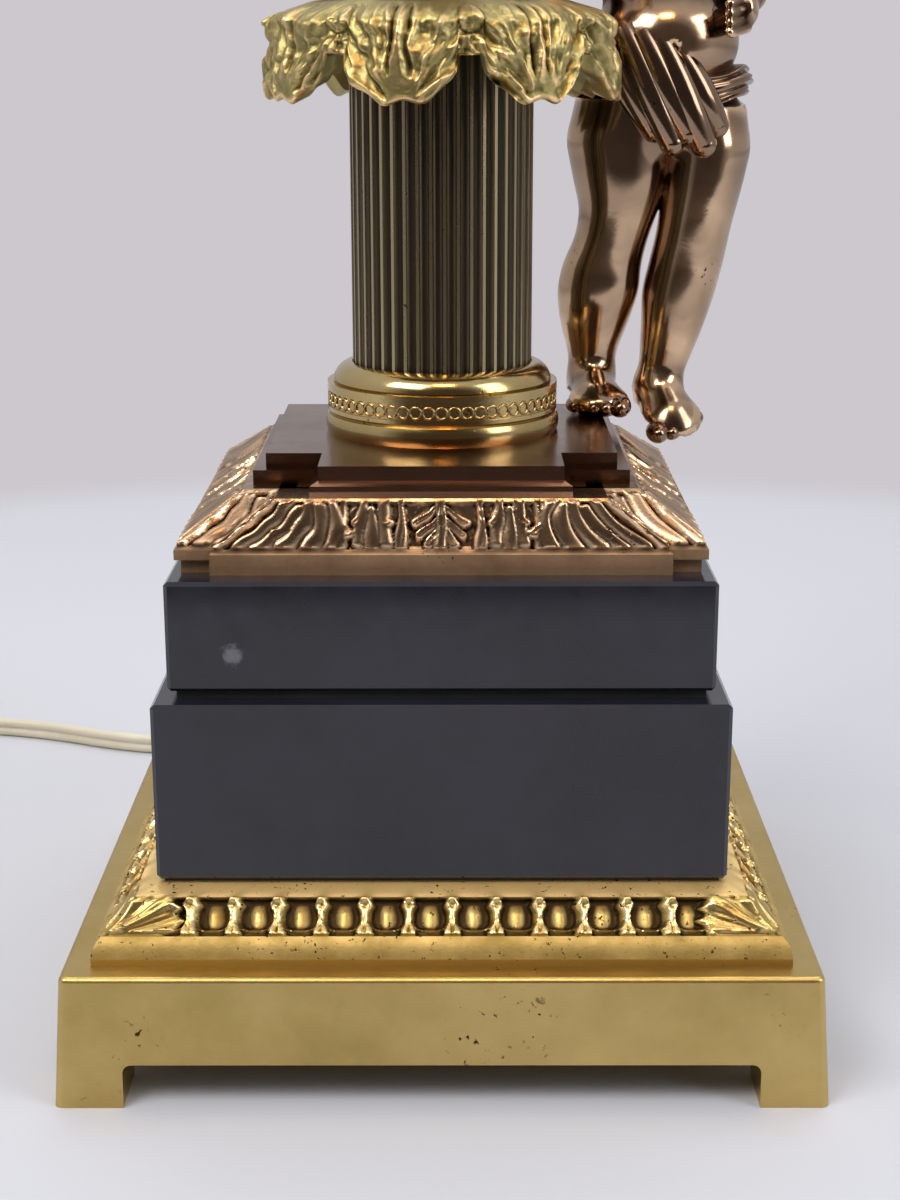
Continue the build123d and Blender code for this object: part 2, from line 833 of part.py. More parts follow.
with BuildPart() as socket_cap:
    with BuildSketch(side_view(socket_level)):
        with BuildLine():
            cap_hub = Polyline(
                (rod_radius + 0.05, 0),
                (socket_hub_radius, 0),
                (socket_hub_radius, socket_hub_height * 0.6),
            )
            cap_dome = ThreePointArc(
                cap_hub @ 1,
                (socket_cap_radius * 0.82, socket_hub_height * 0.95),
                (socket_cap_radius, socket_cap_height - 9.0),
            )
            cap_skirt = Polyline(
                cap_dome @ 1,
                (socket_cap_radius, socket_cap_height),
                (cap_inner, socket_cap_height),
                (cap_inner, socket_cap_height - 9.0),
            )
            cap_inside = ThreePointArc(
                cap_skirt @ 1,
                (socket_cap_radius * 0.76, socket_hub_height * 1.1),
                (socket_hub_radius - socket_wall, socket_hub_height),
            )
            Polyline(
                cap_inside @ 1,
                (rod_radius + 0.05, socket_hub_height),
                (rod_radius + 0.05, 0),
            )
        make_face()
    revolve(axis=Axis.Z)

socket_cap.part.label = "socket_cap"
export_step(socket_cap.part, "parts/socket_cap.step")

shell_top = shell_level + socket_shell_height
knob_plane = Plane(origin=(0, 0, knob_level), z_dir=(0, -1, 0))
knob_hole_radius = knob_shaft_radius + knob_hole_clearance

with BuildPart() as socket_shell:
    with BuildSketch(Plane.XY.offset(shell_level)):
        Circle(socket_shell_radius)
        Circle(socket_shell_radius - socket_wall, mode=Mode.SUBTRACT)
    extrude(amount=socket_shell_height)
    with BuildSketch(Plane.XZ):
        with Locations((socket_shell_radius - socket_wall / 2, shell_top)):
            Circle(socket_wall)
    revolve(axis=Axis.Z)
    with BuildSketch(Plane.XZ):
        with Locations((socket_shell_radius, shell_level + socket_lap + socket_wall)):
            Circle(socket_wall * 0.8)
    revolve(axis=Axis.Z)
    with BuildSketch(Plane.XY.offset(shell_level)):
        Circle(socket_shell_radius - socket_wall)
    extrude(amount=socket_shell_height + 2 * socket_wall, mode=Mode.SUBTRACT)
    with BuildSketch(knob_plane):
        Circle(knob_hole_radius)
    extrude(amount=2 * socket_shell_radius, mode=Mode.SUBTRACT)

socket_shell.part.label = "socket_shell"
export_step(socket_shell.part, "parts/socket_shell.step")

# ---------------------------------------------------------------- inside of the socket
# A fibre liner, a moulded insulator that holds the switch, the screw shell and the centre contact.

liner_radius = socket_shell_radius - socket_wall - liner_clearance

with BuildPart() as socket_liner:
    with BuildSketch(Plane.XY.offset(insulator_level)):
        Circle(liner_radius)
        Circle(liner_radius - liner_thickness, mode=Mode.SUBTRACT)
    extrude(amount=socket_shell_height - socket_wall - 1.0)
    with BuildSketch(knob_plane):
        Circle(knob_hole_radius)
    extrude(amount=2 * socket_shell_radius, mode=Mode.SUBTRACT)

socket_liner.part.label = "socket_liner"
export_step(socket_liner.part, "parts/socket_liner.step")

terminal_radius = 2.2
terminal_depth = 2.6

with BuildPart() as socket_insulator:
    with BuildSketch(Plane.XY.offset(insulator_level)):
        Circle(insulator_radius)
    extrude(amount=insulator_height)
    with BuildSketch(knob_plane):
        Circle(knob_shaft_radius + knob_running_fit)
    extrude(amount=2 * insulator_radius, mode=Mode.SUBTRACT)
    with Locations((0, 0, insulator_level + 6.0)):
        Cylinder(rod_bore_radius + 1.0, 12.0, mode=Mode.SUBTRACT)
    with Locations((0, 0, screw_shell_level)):
        Hole(contact_radius + contact_clearance, contact_recess)
    for sign in (-1, 1):
        with Locations((sign * insulator_radius, 0, insulator_level + insulator_height / 2)):
            Box(2 * terminal_depth, 3 * terminal_radius, 3 * terminal_radius, mode=Mode.SUBTRACT)

socket_insulator.part.label = "socket_insulator"
export_step(socket_insulator.part, "parts/socket_insulator.step")

with BuildPart() as terminal_screws:
    for sign in (-1, 1):
        terminal_plane = Plane(
            origin=(sign * (insulator_radius - terminal_depth), 0, insulator_level + insulator_height / 2),
            z_dir=(sign, 0, 0),
        )
        with BuildSketch(terminal_plane):
            Circle(terminal_radius)
        extrude(amount=terminal_depth * 0.6)
        with BuildSketch(terminal_plane.offset(terminal_depth * 0.6)):
            Rectangle(3 * terminal_radius, 0.7)
        extrude(amount=-0.6, mode=Mode.SUBTRACT)

terminal_screws.part.label = "terminal_screws"
export_step(terminal_screws.part, "parts/terminal_screws.step")

screw_shell_radius = screw_shell_bore + screw_shell_wall

with BuildPart() as screw_shell:
    with BuildSketch(Plane.XY.offset(screw_shell_level)):
        Circle(screw_shell_radius)
    extrude(amount=screw_shell_height)
    with BuildSketch(Plane.XY.offset(screw_shell_level + screw_shell_wall)):
        Circle(screw_shell_bore)
    extrude(amount=screw_shell_height, mode=Mode.SUBTRACT)
    with Locations((0, 0, screw_shell_level + screw_shell_wall)):
        Hole(contact_radius + 1.0, screw_shell_wall)

screw_shell.part.label = "screw_shell"
export_step(screw_shell.part, "parts/screw_shell.step")

with BuildPart() as centre_contact:
    with BuildSketch(Plane.XY.offset(screw_shell_level - contact_recess)):
        Circle(contact_radius)
    extrude(amount=contact_height)
    fillet(edges().group_by(Axis.Z)[-1], contact_height / 3)

centre_contact.part.label = "centre_contact"
export_step(centre_contact.part, "parts/centre_contact.step")

# ---------------------------------------------------------------- switch shaft and knob
# The steel shaft turns in the insulator; the fluted knob on its end is turned with finger and thumb.

shaft_start = rod_bore_radius + 1.5
knob_start = socket_shell_radius + knob_stand_off
knob_bore_depth = knob_length * 0.7

with BuildPart() as switch_shaft:
    with BuildSketch(knob_plane.offset(shaft_start)):
        Circle(knob_shaft_radius)
    extrude(amount=knob_start + knob_bore_depth - shaft_start)

switch_shaft.part.label = "switch_shaft"
export_step(switch_shaft.part, "parts/switch_shaft.step")

with BuildPart() as switch_knob:
    with BuildSketch(knob_plane.offset(knob_start)):
        Circle(knob_radius)
        with PolarLocations(knob_radius + 0.35, knob_flutes):
            Circle(0.8, mode=Mode.SUBTRACT)
    extrude(amount=knob_length)
    fillet(edges().group_by(Axis.Y)[0], 0.4)
    with BuildSketch(knob_plane.offset(knob_start)):
        Circle(knob_shaft_radius)
    extrude(amount=knob_bore_depth, mode=Mode.SUBTRACT)

switch_knob.part.label = "switch_knob"
export_step(switch_knob.part, "parts/switch_knob.step")

# ---------------------------------------------------------------- harp
# A bow of round wire with a disc and a threaded stud on top. Half-round feet face the saddle's tongues.

bow_start = harp_foot_level + ferrule_length * 0.75
bow_widest = harp_foot_level + harp_height * 0.5
bow_shoulder = harp_foot_level + harp_height * 0.86

bow_right = [
    (arm_x, bow_start),
    (arm_x, bow_start + 22),
    (harp_half_width, bow_widest - 22),
    (harp_half_width, bow_widest + 34),
    (harp_half_width * 0.62, bow_shoulder + 16),
]
bow_left = [(-x, z) for x, z in reversed(bow_right)]
bow_radii = (22.0, 40.0, 52.0, 26.0)

with BuildPart() as harp:
    with BuildLine(Plane.XZ) as bow:
        FilletPolyline(
            *bow_right,
            (0, harp_top - harp_wire_radius),
            *bow_left,
            radius=(*bow_radii, 22.0, *reversed(bow_radii)),
        )
    with BuildSketch(Plane.XY.offset(bow_start)):
        with Locations((arm_x, 0)):
            Circle(harp_wire_radius)
    sweep(path=bow.wire())
    for sign in (-1, 1):
        with BuildSketch(Plane.XY.offset(harp_foot_level)):
            with Locations((sign * arm_x, 0)):
                Circle(harp_wire_radius)
            with Locations((sign * (arm_x - harp_wire_radius + tongue_gap / 2), 0)):
                Rectangle(2 * harp_wire_radius, 2 * harp_wire_radius, mode=Mode.SUBTRACT)
        extrude(amount=bow_start - harp_foot_level)
    with BuildSketch(Plane.XY.offset(harp_top)):
        Circle(harp_disc_radius)
    extrude(amount=harp_disc_thickness)
    with BuildSketch(Plane.XY.offset(harp_top - 3 * harp_wire_radius)):
        Circle(harp_wire_radius * 1.6)
    extrude(amount=3 * harp_wire_radius)
    with BuildSketch(Plane.XY.offset(disc_top)):
        Circle(stud_radius)
    extrude(amount=stud_height)

harp.part.label = "harp"
export_step(harp.part, "parts/harp.step")

# ---------------------------------------------------------------- ferrules
# A sleeve on each foot of the harp. It slides up the wire to free the harp from the saddle.

ferrule_bore = harp_wire_radius + ferrule_clearance
ferrule_outside = ferrule_bore + ferrule_wall

for ferrule_name, ferrule_x in (("left_ferrule", -arm_x), ("right_ferrule", arm_x)):
    with BuildPart() as ferrule:
        with BuildSketch(Plane(origin=(ferrule_x, 0, harp_foot_level), x_dir=(1, 0, 0), z_dir=(0, -1, 0))):
            with BuildLine():
                bead = ThreePointArc(
                    (ferrule_outside, 0),
                    (ferrule_outside + ferrule_bead * 0.8, ferrule_bead),
                    (ferrule_outside, 2 * ferrule_bead),
                )
                Polyline(
                    bead @ 1,
                    (ferrule_outside, ferrule_length - 0.8),
                    (ferrule_outside - 0.6, ferrule_length),
                    (ferrule_bore, ferrule_length),
                    (ferrule_bore, 0),
                    bead @ 0,
                )
            make_face()
        revolve(axis=Axis((ferrule_x, 0, 0), (0, 0, 1)))
    ferrule.part.label = ferrule_name
    export_step(ferrule.part, f"parts/{ferrule_name}.step")

# ---------------------------------------------------------------- finial
# A turned brass nut on the harp's stud: a flared foot, a ball and a small tip.

finial_bore = stud_radius + stud_running_fit
finial_bore_depth = stud_height + finial_bore_spare
ball_radius = finial_radius * 0.82
ball_level = finial_height * 0.56

with BuildPart() as finial:
    with BuildSketch(side_view(disc_top)):
        with BuildLine():
            finial_foot = Polyline(
                (finial_bore, 0),
                (finial_radius, 0),
                (finial_radius, 1.8),
            )
            finial_waist = ThreePointArc(
                finial_foot @ 1,
                (finial_radius * 0.62, 4.2),
                (finial_radius * 0.60, ball_level - ball_radius * 0.8),
            )
            finial_ball = ThreePointArc(
                finial_waist @ 1,
                (ball_radius, ball_level),
                (ball_radius * 0.4, ball_level + ball_radius * 0.92),
            )
            finial_tip = ThreePointArc(
                finial_ball @ 1,
                (ball_radius * 0.34, finial_height - 3.2),
                (0.8, finial_height - 0.4),
            )
            Polyline(
                finial_tip @ 1,
                (0, finial_height),
                (0, finial_bore_depth),
                (finial_bore, finial_bore_depth),
                (finial_bore, 0),
            )
        make_face()
    revolve(axis=Axis.Z)

finial.part.label = "finial"
export_step(finial.part, "parts/finial.step")

# ---------------------------------------------------------------- putto
# One bronze casting. The right leg stands on the slab, the left hangs free with its toes pointed. The
# right forearm rests on the capital and the left hand on the hip. A sash covers the hips. Places and
# radii are drawn for a figure 185 mm tall, and everything is set out from the screw at its real height.

drawn_height = 185.0
figure_scale = putto_height / drawn_height


def figure_point(x, y, z):
    """Where a drawn place on the figure lies on the lamp."""
    return Vector(
        putto_screw_x + (x - putto_screw_x) * figure_scale,
        putto_screw_y + (y - putto_screw_y) * figure_scale,
        slab_top + (z - slab_top) * figure_scale,
    )


def across(centre, half_width, half_depth):
    """A level elliptical section through the body or a leg."""
    with BuildSketch(Plane(origin=figure_point(*centre))) as section:
        Ellipse(half_width * figure_scale, half_depth * figure_scale)
    return section.sketch


def along(centre, direction, half_width, half_height):
    """An elliptical section square to a limb, with its width kept level."""
    run_x, run_y, run_z = direction
    limb_plane = Plane(origin=figure_point(*centre), x_dir=(run_y, -run_x, 0), z_dir=direction)
    with BuildSketch(limb_plane) as section:
        Ellipse(half_width * figure_scale, half_height * figure_scale)
    return section.sketch


def swelling(centre, radius):
    """A ball set into the body."""
    with Locations(figure_point(*centre)):
        Sphere(radius * figure_scale)


def limb(start, end, start_radius, middle_radius, end_radius):
    """A round limb with a swelling in its middle and a ball at each end."""
    direction = Vector(end) - Vector(start)
    middle = Vector(start) + direction * 0.45
    sections = [
        along(start, direction, start_radius, start_radius),
        along(middle, direction, middle_radius, middle_radius),
        along(end, direction, end_radius, end_radius),
    ]
    loft(sections)
    swelling(start, start_radius)
    swelling(end, end_radius)


standing_ankle = (39.6, 30.0, slab_top + 15.0)
standing_calf = (40.9, 30.5, slab_top + 30.5)
standing_knee = (46.0, 28.0, slab_top + 52.0)
standing_thigh = (45.4, 29.5, slab_top + 70.0)
hanging_ankle = (58.0, 27.0, slab_top + 10.5)
hanging_calf = (61.5, 28.5, slab_top + 30.8)
hanging_knee = (64.8, 26.0, slab_top + 47.5)
hanging_thigh = (68.6, 28.0, slab_top + 68.0)
pelvis = (56.3, 30.0, slab_top + 66.0)
hips = (56.4, 30.0, slab_top + 84.0)
belly = (56.6, 28.0, slab_top + 97.0)
chest = (55.0, 30.5, slab_top + 122.0)
shoulders = (54.0, 31.0, slab_top + 133.5)
neck = (53.0, 30.0, slab_top + 142.0)
head_radius = 17.4
head_half_height = 20.0
head = (51.5, 27.5, slab_top + drawn_height - head_half_height)
hand_rest = slab_top + (capital_top + 3.7 - slab_top) / figure_scale
right_shoulder = (38.5, 31.0, slab_top + 131.5)
right_elbow = (27.0, 25.0, hand_rest + 3.6)
right_wrist = (19.6, 4.5, hand_rest + 1.8)
right_fingers = (17.5, -7.0, hand_rest)
left_shoulder = (70.0, 31.5, slab_top + 131.5)
left_elbow = (80.5, 41.0, slab_top + 112.5)
left_wrist = (76.0, 20.5, slab_top + 111.0)
left_fingers = (69.5, 13.5, slab_top + 110.0)
foot_axis = (0.09, -1.0, 0.0)
hanging_foot_axis = (0.24, -1.0, -0.40)

with BuildPart() as putto:
    # body, from the crotch to the neck
    loft(
        [
            across(pelvis, 13.0, 10.0),
            across((56.3, 30.0, slab_top + 74.0), 20.6, 14.6),
            across(hips, 20.8, 15.6),
            across(belly, 20.2, 17.2),
            across((56.0, 29.5, slab_top + 109.0), 18.6, 15.0),
            across(chest, 19.2, 13.6),
            across(shoulders, 16.5, 10.4),
            across(neck, 7.6, 7.6),
            across((52.4, 29.0, slab_top + 150.0), 7.4, 7.4),
        ]
    )
    # standing leg, from the ankle up
    loft(
        [
            across((39.6, 31.0, slab_top + 7.0), 5.6, 6.6),
            across(standing_ankle, 6.1, 6.4),
            across((40.0, 30.4, slab_top + 22.0), 8.7, 8.6),
            across(standing_calf, 10.6, 10.6),
            across((41.6, 30.0, slab_top + 38.0), 10.1, 10.4),
            across((44.2, 28.8, slab_top + 45.0), 9.4, 10.0),
            across(standing_knee, 9.9, 10.6),
            across((46.4, 28.6, slab_top + 59.5), 11.9, 12.4),
            across(standing_thigh, 13.1, 14.2),
            across((46.6, 30.0, slab_top + 76.0), 12.6, 14.2),
        ]
    )
    # hanging leg, from the ankle up
    loft(
        [
            across((57.0, 28.5, slab_top + 4.6), 4.9, 5.8),
            across(hanging_ankle, 6.1, 6.2),
            across((60.2, 28.0, slab_top + 21.5), 8.2, 8.4),
            across(hanging_calf, 9.9, 10.2),
            across((63.4, 27.6, slab_top + 39.5), 9.7, 10.0),
            across(hanging_knee, 9.4, 10.0),
            across((67.0, 26.6, slab_top + 58.0), 10.0, 11.8),
            across(hanging_thigh, 10.9, 13.6),
            across((66.6, 30.0, slab_top + 77.0), 11.0, 13.8),
        ]
    )
    # standing foot, from heel to toes
    loft(
        [
            along((39.4, 36.0, slab_top + 5.0), foot_axis, 3.6, 3.4),
            along((39.5, 32.0, slab_top + 5.6), foot_axis, 5.8, 5.8),
            along((40.0, 25.0, slab_top + 5.6), foot_axis, 6.4, 6.4),
            along((40.6, 18.0, slab_top + 3.4), foot_axis, sole_width / 2 - 0.4, 4.0),
            along((41.2, 12.2, slab_top + 1.9), foot_axis, sole_width / 2 - 0.6, 2.3),
        ]
    )
    # hanging foot, pointed down
    loft(
        [
            along((56.0, 32.4, slab_top + 4.6), hanging_foot_axis, 3.6, 3.4),
            along((56.8, 29.2, slab_top + 3.8), hanging_foot_axis, 5.4, 5.6),
            along((58.4, 22.6, slab_top + 2.2), hanging_foot_axis, 5.8, 5.4),
            along((60.0, 15.6, slab_top - 0.4), hanging_foot_axis, 6.2, 3.8),
            along((61.2, 10.6, slab_top - 2.0), hanging_foot_axis, 5.0, 2.2),
        ]
    )
    # arms and hands
    limb(right_shoulder, right_elbow, 7.2, 7.0, 5.6)
    limb(right_elbow, right_wrist, 5.6, 5.9, 3.9)
    limb(right_wrist, right_fingers, 3.9, 4.6, 2.6)
    limb(left_shoulder, left_elbow, 7.2, 7.0, 5.4)
    limb(left_elbow, left_wrist, 5.4, 5.7, 3.9)
    limb(left_wrist, left_fingers, 3.9, 4.6, 2.6)
    # head, with cheeks, nose, ears and a cap of hair
    skull_radius = head_radius * figure_scale
    skull_half_height = head_half_height * figure_scale
    with BuildSketch(Plane(origin=figure_point(*head), x_dir=(1, 0, 0), z_dir=(0, -1, 0))):
        with BuildLine():
            EllipticalCenterArc((0, 0), skull_radius, skull_half_height, start_angle=-90, arc_size=180)
            Line((0, skull_half_height), (0, -skull_half_height))
        make_face()
    revolve(axis=Axis(figure_point(*head), (0, 0, 1)))
    swelling((head[0], head[1] + 2.6, head[2] + 3.4), head_radius * 1.06)
    for sign in (-1, 1):
        swelling((head[0] + sign * 7.0, head[1] - 9.6, head[2] - 7.0), 6.4)
        swelling((head[0] + sign * head_radius * 0.98, head[1] + 1.0, head[2] - 3.0), 3.1)
    swelling((head[0], head[1] - head_radius + 0.6, head[2] - 3.6), 2.3)
    swelling((head[0], head[1] - head_radius * 0.72, head[2] - 14.2), 4.6)
    # sash round the hips, with its gathered end hanging in front
    loft(
        [
            across((56.2, 30.0, slab_top + 76.0), 22.0, 16.2),
            across((56.3, 29.8, slab_top + 82.0), 22.4, 17.0),
            across((56.4, 29.6, slab_top + 88.0), 22.0, 17.4),
        ]
    )
    loft(
        [
            along((58.0, 13.4, slab_top + 86.0), (0.2, -0.1, -1.0), 6.0, 3.6),
            along((61.0, 12.4, slab_top + 77.0), (0.2, 0.0, -1.0), 5.6, 4.2),
            along((62.6, 14.4, slab_top + 69.0), (0.1, 0.3, -1.0), 3.6, 3.0),
        ]
    )
    # flat sole and the tapped hole for the screw
    with BuildSketch(Plane.XY.offset(slab_top)):
        with Locations(figure_point(40.4, 24.0, slab_top) - Vector(0, 0, slab_top)):
            Rectangle((sole_width + 4) * figure_scale, 4 * sole_width * figure_scale)
    extrude(amount=-8.0 * figure_scale, mode=Mode.SUBTRACT)
    with Locations(Plane(origin=(putto_screw_x, putto_screw_y, slab_top), z_dir=(0, 0, -1))):
        Hole(screw_radius + 0.05, screw_grip + 1.0)

putto.part.label = "putto"
export_step(putto.part, "parts/putto.step")

# ---------------------------------------------------------------- putto screw
# A machine screw from inside the mount, up through the slab into the heel of the standing foot.

with BuildPart() as putto_screw:
    with BuildSketch(Plane.XY.offset(cavity_top)):
        with Locations((putto_screw_x, putto_screw_y)):
            Circle(screw_head_radius)
    extrude(amount=-screw_head_height)
    with BuildSketch(Plane.XY.offset(cavity_top - screw_head_height)):
        with Locations((putto_screw_x, putto_screw_y)):
            Rectangle(2 * screw_head_radius, 1.0)
    extrude(amount=1.2, mode=Mode.SUBTRACT)
    with BuildSketch(Plane.XY.offset(cavity_top)):
        with Locations((putto_screw_x, putto_screw_y)):
            Circle(screw_radius)
    extrude(amount=slab_top + screw_grip - cavity_top)

putto_screw.part.label = "putto_screw"
export_step(putto_screw.part, "parts/putto_screw.step")

# ---------------------------------------------------------------- cord inside the lamp
# The cord comes in at the back wall, bends round under the rod and runs up its bore to the socket.

relief_inside = cord_wall_y - plinth_wall - 1.0
cord_joint_y = cord_wall_y + 1.0
bend_level = rod_bottom - cord_radius - 3.4
bend_radius = 6.4

with BuildPart() as inner_cord:
    with BuildLine() as inner_path:
        FilletPolyline(
            (0, cord_joint_y, cord_exit_height),
            (0, relief_inside - 16, cord_exit_height),
            (0, relief_inside - 36, bend_level),
            (0, 0, bend_level),
            (0, 0, insulator_level - 2.0),
            radius=(38.0, 38.0, bend_radius),
        )
    with BuildSketch(Plane(origin=(0, cord_joint_y, cord_exit_height), z_dir=(0, -1, 0))):
        Circle(cord_radius)
    sweep(path=inner_path.wire())

inner_cord.part.label = "inner_cord"
export_step(inner_cord.part, "parts/inner_cord.step")

# ---------------------------------------------------------------- strain relief
# A soft plastic sleeve that clips into the back wall and tapers along the cord.

relief_plane = Plane(origin=(0, cord_wall_y, cord_exit_height), x_dir=(1, 0, 0), z_dir=(0, 1, 0))

with BuildPart() as strain_relief:
    with BuildSketch(relief_plane):
        Circle(relief_flange_radius)
    extrude(amount=2.0)
    with BuildSketch(relief_plane.offset(2.0)):
        Circle(relief_flange_radius - 0.8)
    with BuildSketch(relief_plane.offset(relief_length)):
        Circle(relief_tip_radius)
    loft(ruled=True)
    with BuildSketch(relief_plane):
        Circle(relief_neck_radius)
    extrude(amount=-plinth_wall - 1.0)
    with BuildSketch(relief_plane.offset(-plinth_wall - 1.0)):
        Circle(cord_radius + cord_clearance)
    extrude(amount=relief_length + plinth_wall + 1.0, mode=Mode.SUBTRACT)

strain_relief.part.label = "strain_relief"
export_step(strain_relief.part, "parts/strain_relief.step")


# ---------------------------------------------------------------- supply cord
# It drops from the strain relief to the floor, passes behind the base and runs off to the left.


def corner_radii(route):
    """For each corner, 0.45 of its shorter run over the tangent of half the turn."""
    radii = []
    for before, corner, after in zip(route, route[1:], route[2:]):
        arriving = Vector(corner) - Vector(before)
        leaving = Vector(after) - Vector(corner)
        turn = radians(arriving.get_angle(leaving))
        radii.append(0.45 * min(arriving.length, leaving.length) / tan(turn / 2))
    return radii


def cord_tube(route):
    """Sweep the cord's round section along straight runs joined by tangent arcs."""
    radii = corner_radii(route)
    print("cord radii", [round(r, 1) for r in radii])
    with BuildLine() as path:
        FilletPolyline(*route, radius=radii)
    with BuildSketch(Plane(origin=route[0], z_dir=Vector(route[1]) - Vector(route[0]))) as section:
        Circle(cord_radius)
    sweep(section.sketch, path=path.wire())
    print("tube length", round(path.wire().length, 1))


exit_point = (0, cord_joint_y, cord_exit_height)
coil_entry = (coil_centre[0] + 4.0, coil_centre[1] - coil_middle_radius - 3.0, cord_radius)

cord_route = [
    exit_point,
    (0.0, 111.5, cord_exit_height),
    (-1.5, 132.0, 18.0),
    (-9.0, 149.0, 10.5),
    (-24.0, 158.5, 4.0),
    (-44.0, 159.5, cord_radius),
    (-67.0, 153.5, cord_radius),
    (-88.0, 147.0, cord_radius),
    (-112.0, 151.5, cord_radius),
    (-138.0, 163.5, cord_radius),
    (-164.0, 170.0, cord_radius),
    (-190.0, 165.5, cord_radius),
    coil_entry,
]

with BuildPart() as cord_run:
    cord_tube(cord_route)

cord_run.part.label = "cord_run"
export_step(cord_run.part, "parts/cord_run.step")

# The put-away length lies beside the lamp in a neat round coil.

coil_outer_radius = coil_middle_radius + coil_bundle_width / 2
coil_inner_radius = coil_middle_radius - coil_bundle_width / 2

with BuildPart() as cord_coil:
    with BuildSketch():
        with Locations(coil_centre):
            Circle(coil_outer_radius)
            Circle(coil_inner_radius, mode=Mode.SUBTRACT)
    extrude(amount=coil_height)
    fillet(edges(), cord_radius)

cord_coil.part.label = "cord_coil"
export_step(cord_coil.part, "parts/cord_coil.step")

# ---------------------------------------------------------------- cord tail and plug
# The last stretch leaves the coil's outer turn and ends in a flat two-blade plug on the floor.

plug_direction = Vector(cos(radians(plug_angle)), sin(radians(plug_angle)), 0)
tail_start = (coil_centre[0] - 33.8, coil_centre[1] - 12.3, coil_height - cord_radius)
tail_route = [
    tail_start,
    (coil_centre[0] - 40.5, coil_centre[1] + 2.5, 8.4),
    (coil_centre[0] - 47.5, coil_centre[1] + 16.5, 6.4),
    (coil_centre[0] - 50.0, coil_centre[1] + 32.0, 6.6),
]
plug_point = Vector(tail_route[-1])
plug_centre = Vector(plug_point.X, plug_point.Y, plug_thickness / 2)
plug_plane = Plane(origin=plug_centre, x_dir=(-plug_direction.Y, plug_direction.X, 0), z_dir=plug_direction)

with BuildPart() as cord_tail:
    cord_tube(tail_route)

cord_tail.part.label = "cord_tail"
export_step(cord_tail.part, "parts/cord_tail.step")

with BuildPart() as plug_body:
    with BuildSketch(plug_plane):
        RectangleRounded(plug_width * 0.5, plug_thickness * 0.75, 3.0)
    with BuildSketch(plug_plane.offset(plug_length * 0.45)):
        RectangleRounded(plug_width * 0.9, plug_thickness, 4.0)
    with BuildSketch(plug_plane.offset(plug_length)):
        RectangleRounded(plug_width, plug_thickness, 3.0)
    loft(ruled=True)

plug_body.part.label = "plug_body"
export_step(plug_body.part, "parts/plug_body.step")

with BuildPart() as plug_blades:
    for sign in (-1, 1):
        with BuildSketch(plug_plane.offset(plug_length)):
            with Locations((sign * blade_spacing / 2, 0)):
                Rectangle(blade_thickness, blade_width)
        extrude(amount=blade_length)

plug_blades.part.label = "plug_blades"
export_step(plug_blades.part, "parts/plug_blades.step")
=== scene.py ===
from math import cos, pi, radians, sin

import bpy
import numpy as np
from mathutils import Matrix, Vector, noise


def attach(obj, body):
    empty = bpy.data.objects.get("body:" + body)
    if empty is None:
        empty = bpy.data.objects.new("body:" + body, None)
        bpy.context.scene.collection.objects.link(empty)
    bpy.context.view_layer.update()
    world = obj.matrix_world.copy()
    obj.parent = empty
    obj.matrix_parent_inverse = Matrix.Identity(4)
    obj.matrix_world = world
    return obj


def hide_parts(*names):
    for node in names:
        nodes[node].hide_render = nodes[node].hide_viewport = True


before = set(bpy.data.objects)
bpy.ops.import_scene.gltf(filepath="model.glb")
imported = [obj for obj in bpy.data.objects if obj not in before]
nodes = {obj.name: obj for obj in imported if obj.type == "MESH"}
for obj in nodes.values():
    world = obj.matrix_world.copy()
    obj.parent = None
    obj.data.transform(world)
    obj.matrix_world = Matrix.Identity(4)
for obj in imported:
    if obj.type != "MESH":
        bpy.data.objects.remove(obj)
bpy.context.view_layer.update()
MM = 0.001

# ------------------------------------------------------------------ studio
# A pale table whose front edge is just before the camera and whose far end melts into a pale backdrop. Soft
# lights from three sides, a small warm lamp overhead and a dim room behind the camera, which stands where
# the photograph was taken and tilts down by 15.6 degrees.

TABLE_SIZE = 6.0
TABLE_FRONT = -0.47
BACKDROP = (0.604, 0.578, 0.610, 1)

scene = bpy.context.scene
scene.view_settings.view_transform = "Standard"

bpy.ops.object.camera_add(location=(3.35 * MM, -497.64 * MM, 234.88 * MM))
camera = bpy.context.object
camera.rotation_euler = (radians(74.423), radians(0.108), radians(0.143))
camera.data.sensor_width = 36
camera.data.lens = 1991.2 * 36 / 1200
camera.data.clip_start = 0.01
scene.camera = camera

bpy.ops.mesh.primitive_plane_add(size=TABLE_SIZE, location=(0, TABLE_SIZE / 2 + TABLE_FRONT, 0))
bpy.ops.object.transform_apply(location=True, rotation=False, scale=False)
table = bpy.context.object
table.name = "studio_table"
table_white = bpy.data.materials.new("table_white")
table_white.use_nodes = True


def shader_node(tree, kind, inputs=(), **settings):
    """Add one shader node; an input is a number, a colour or another node's output."""
    made = tree.nodes.new("ShaderNode" + kind)
    for setting, value in settings.items():
        setattr(made, setting, value)
    for socket, value in dict(inputs).items():
        if isinstance(value, bpy.types.NodeSocket):
            tree.links.new(value, made.inputs[socket])
        else:
            made.inputs[socket].default_value = value
    return made.outputs


def ramped(tree, value, low, high, at_low=0.0, at_high=1.0):
    """A value taken from one range to another, held at its ends."""
    inputs = {"Value": value, "From Min": low, "From Max": high, "To Min": at_low, "To Max": at_high}
    return shader_node(tree, "MapRange", inputs)[0]


def arithmetic(tree, operation, first, second, third=0.5):
    """One step of arithmetic on two or three values."""
    return shader_node(tree, "Math", {0: first, 1: second, 2: third}, operation=operation)[0]


def blended(tree, share, below, above):
    """A colour between two others."""
    return shader_node(tree, "Mix", {0: share, 6: below, 7: above}, data_type="RGBA")[2]


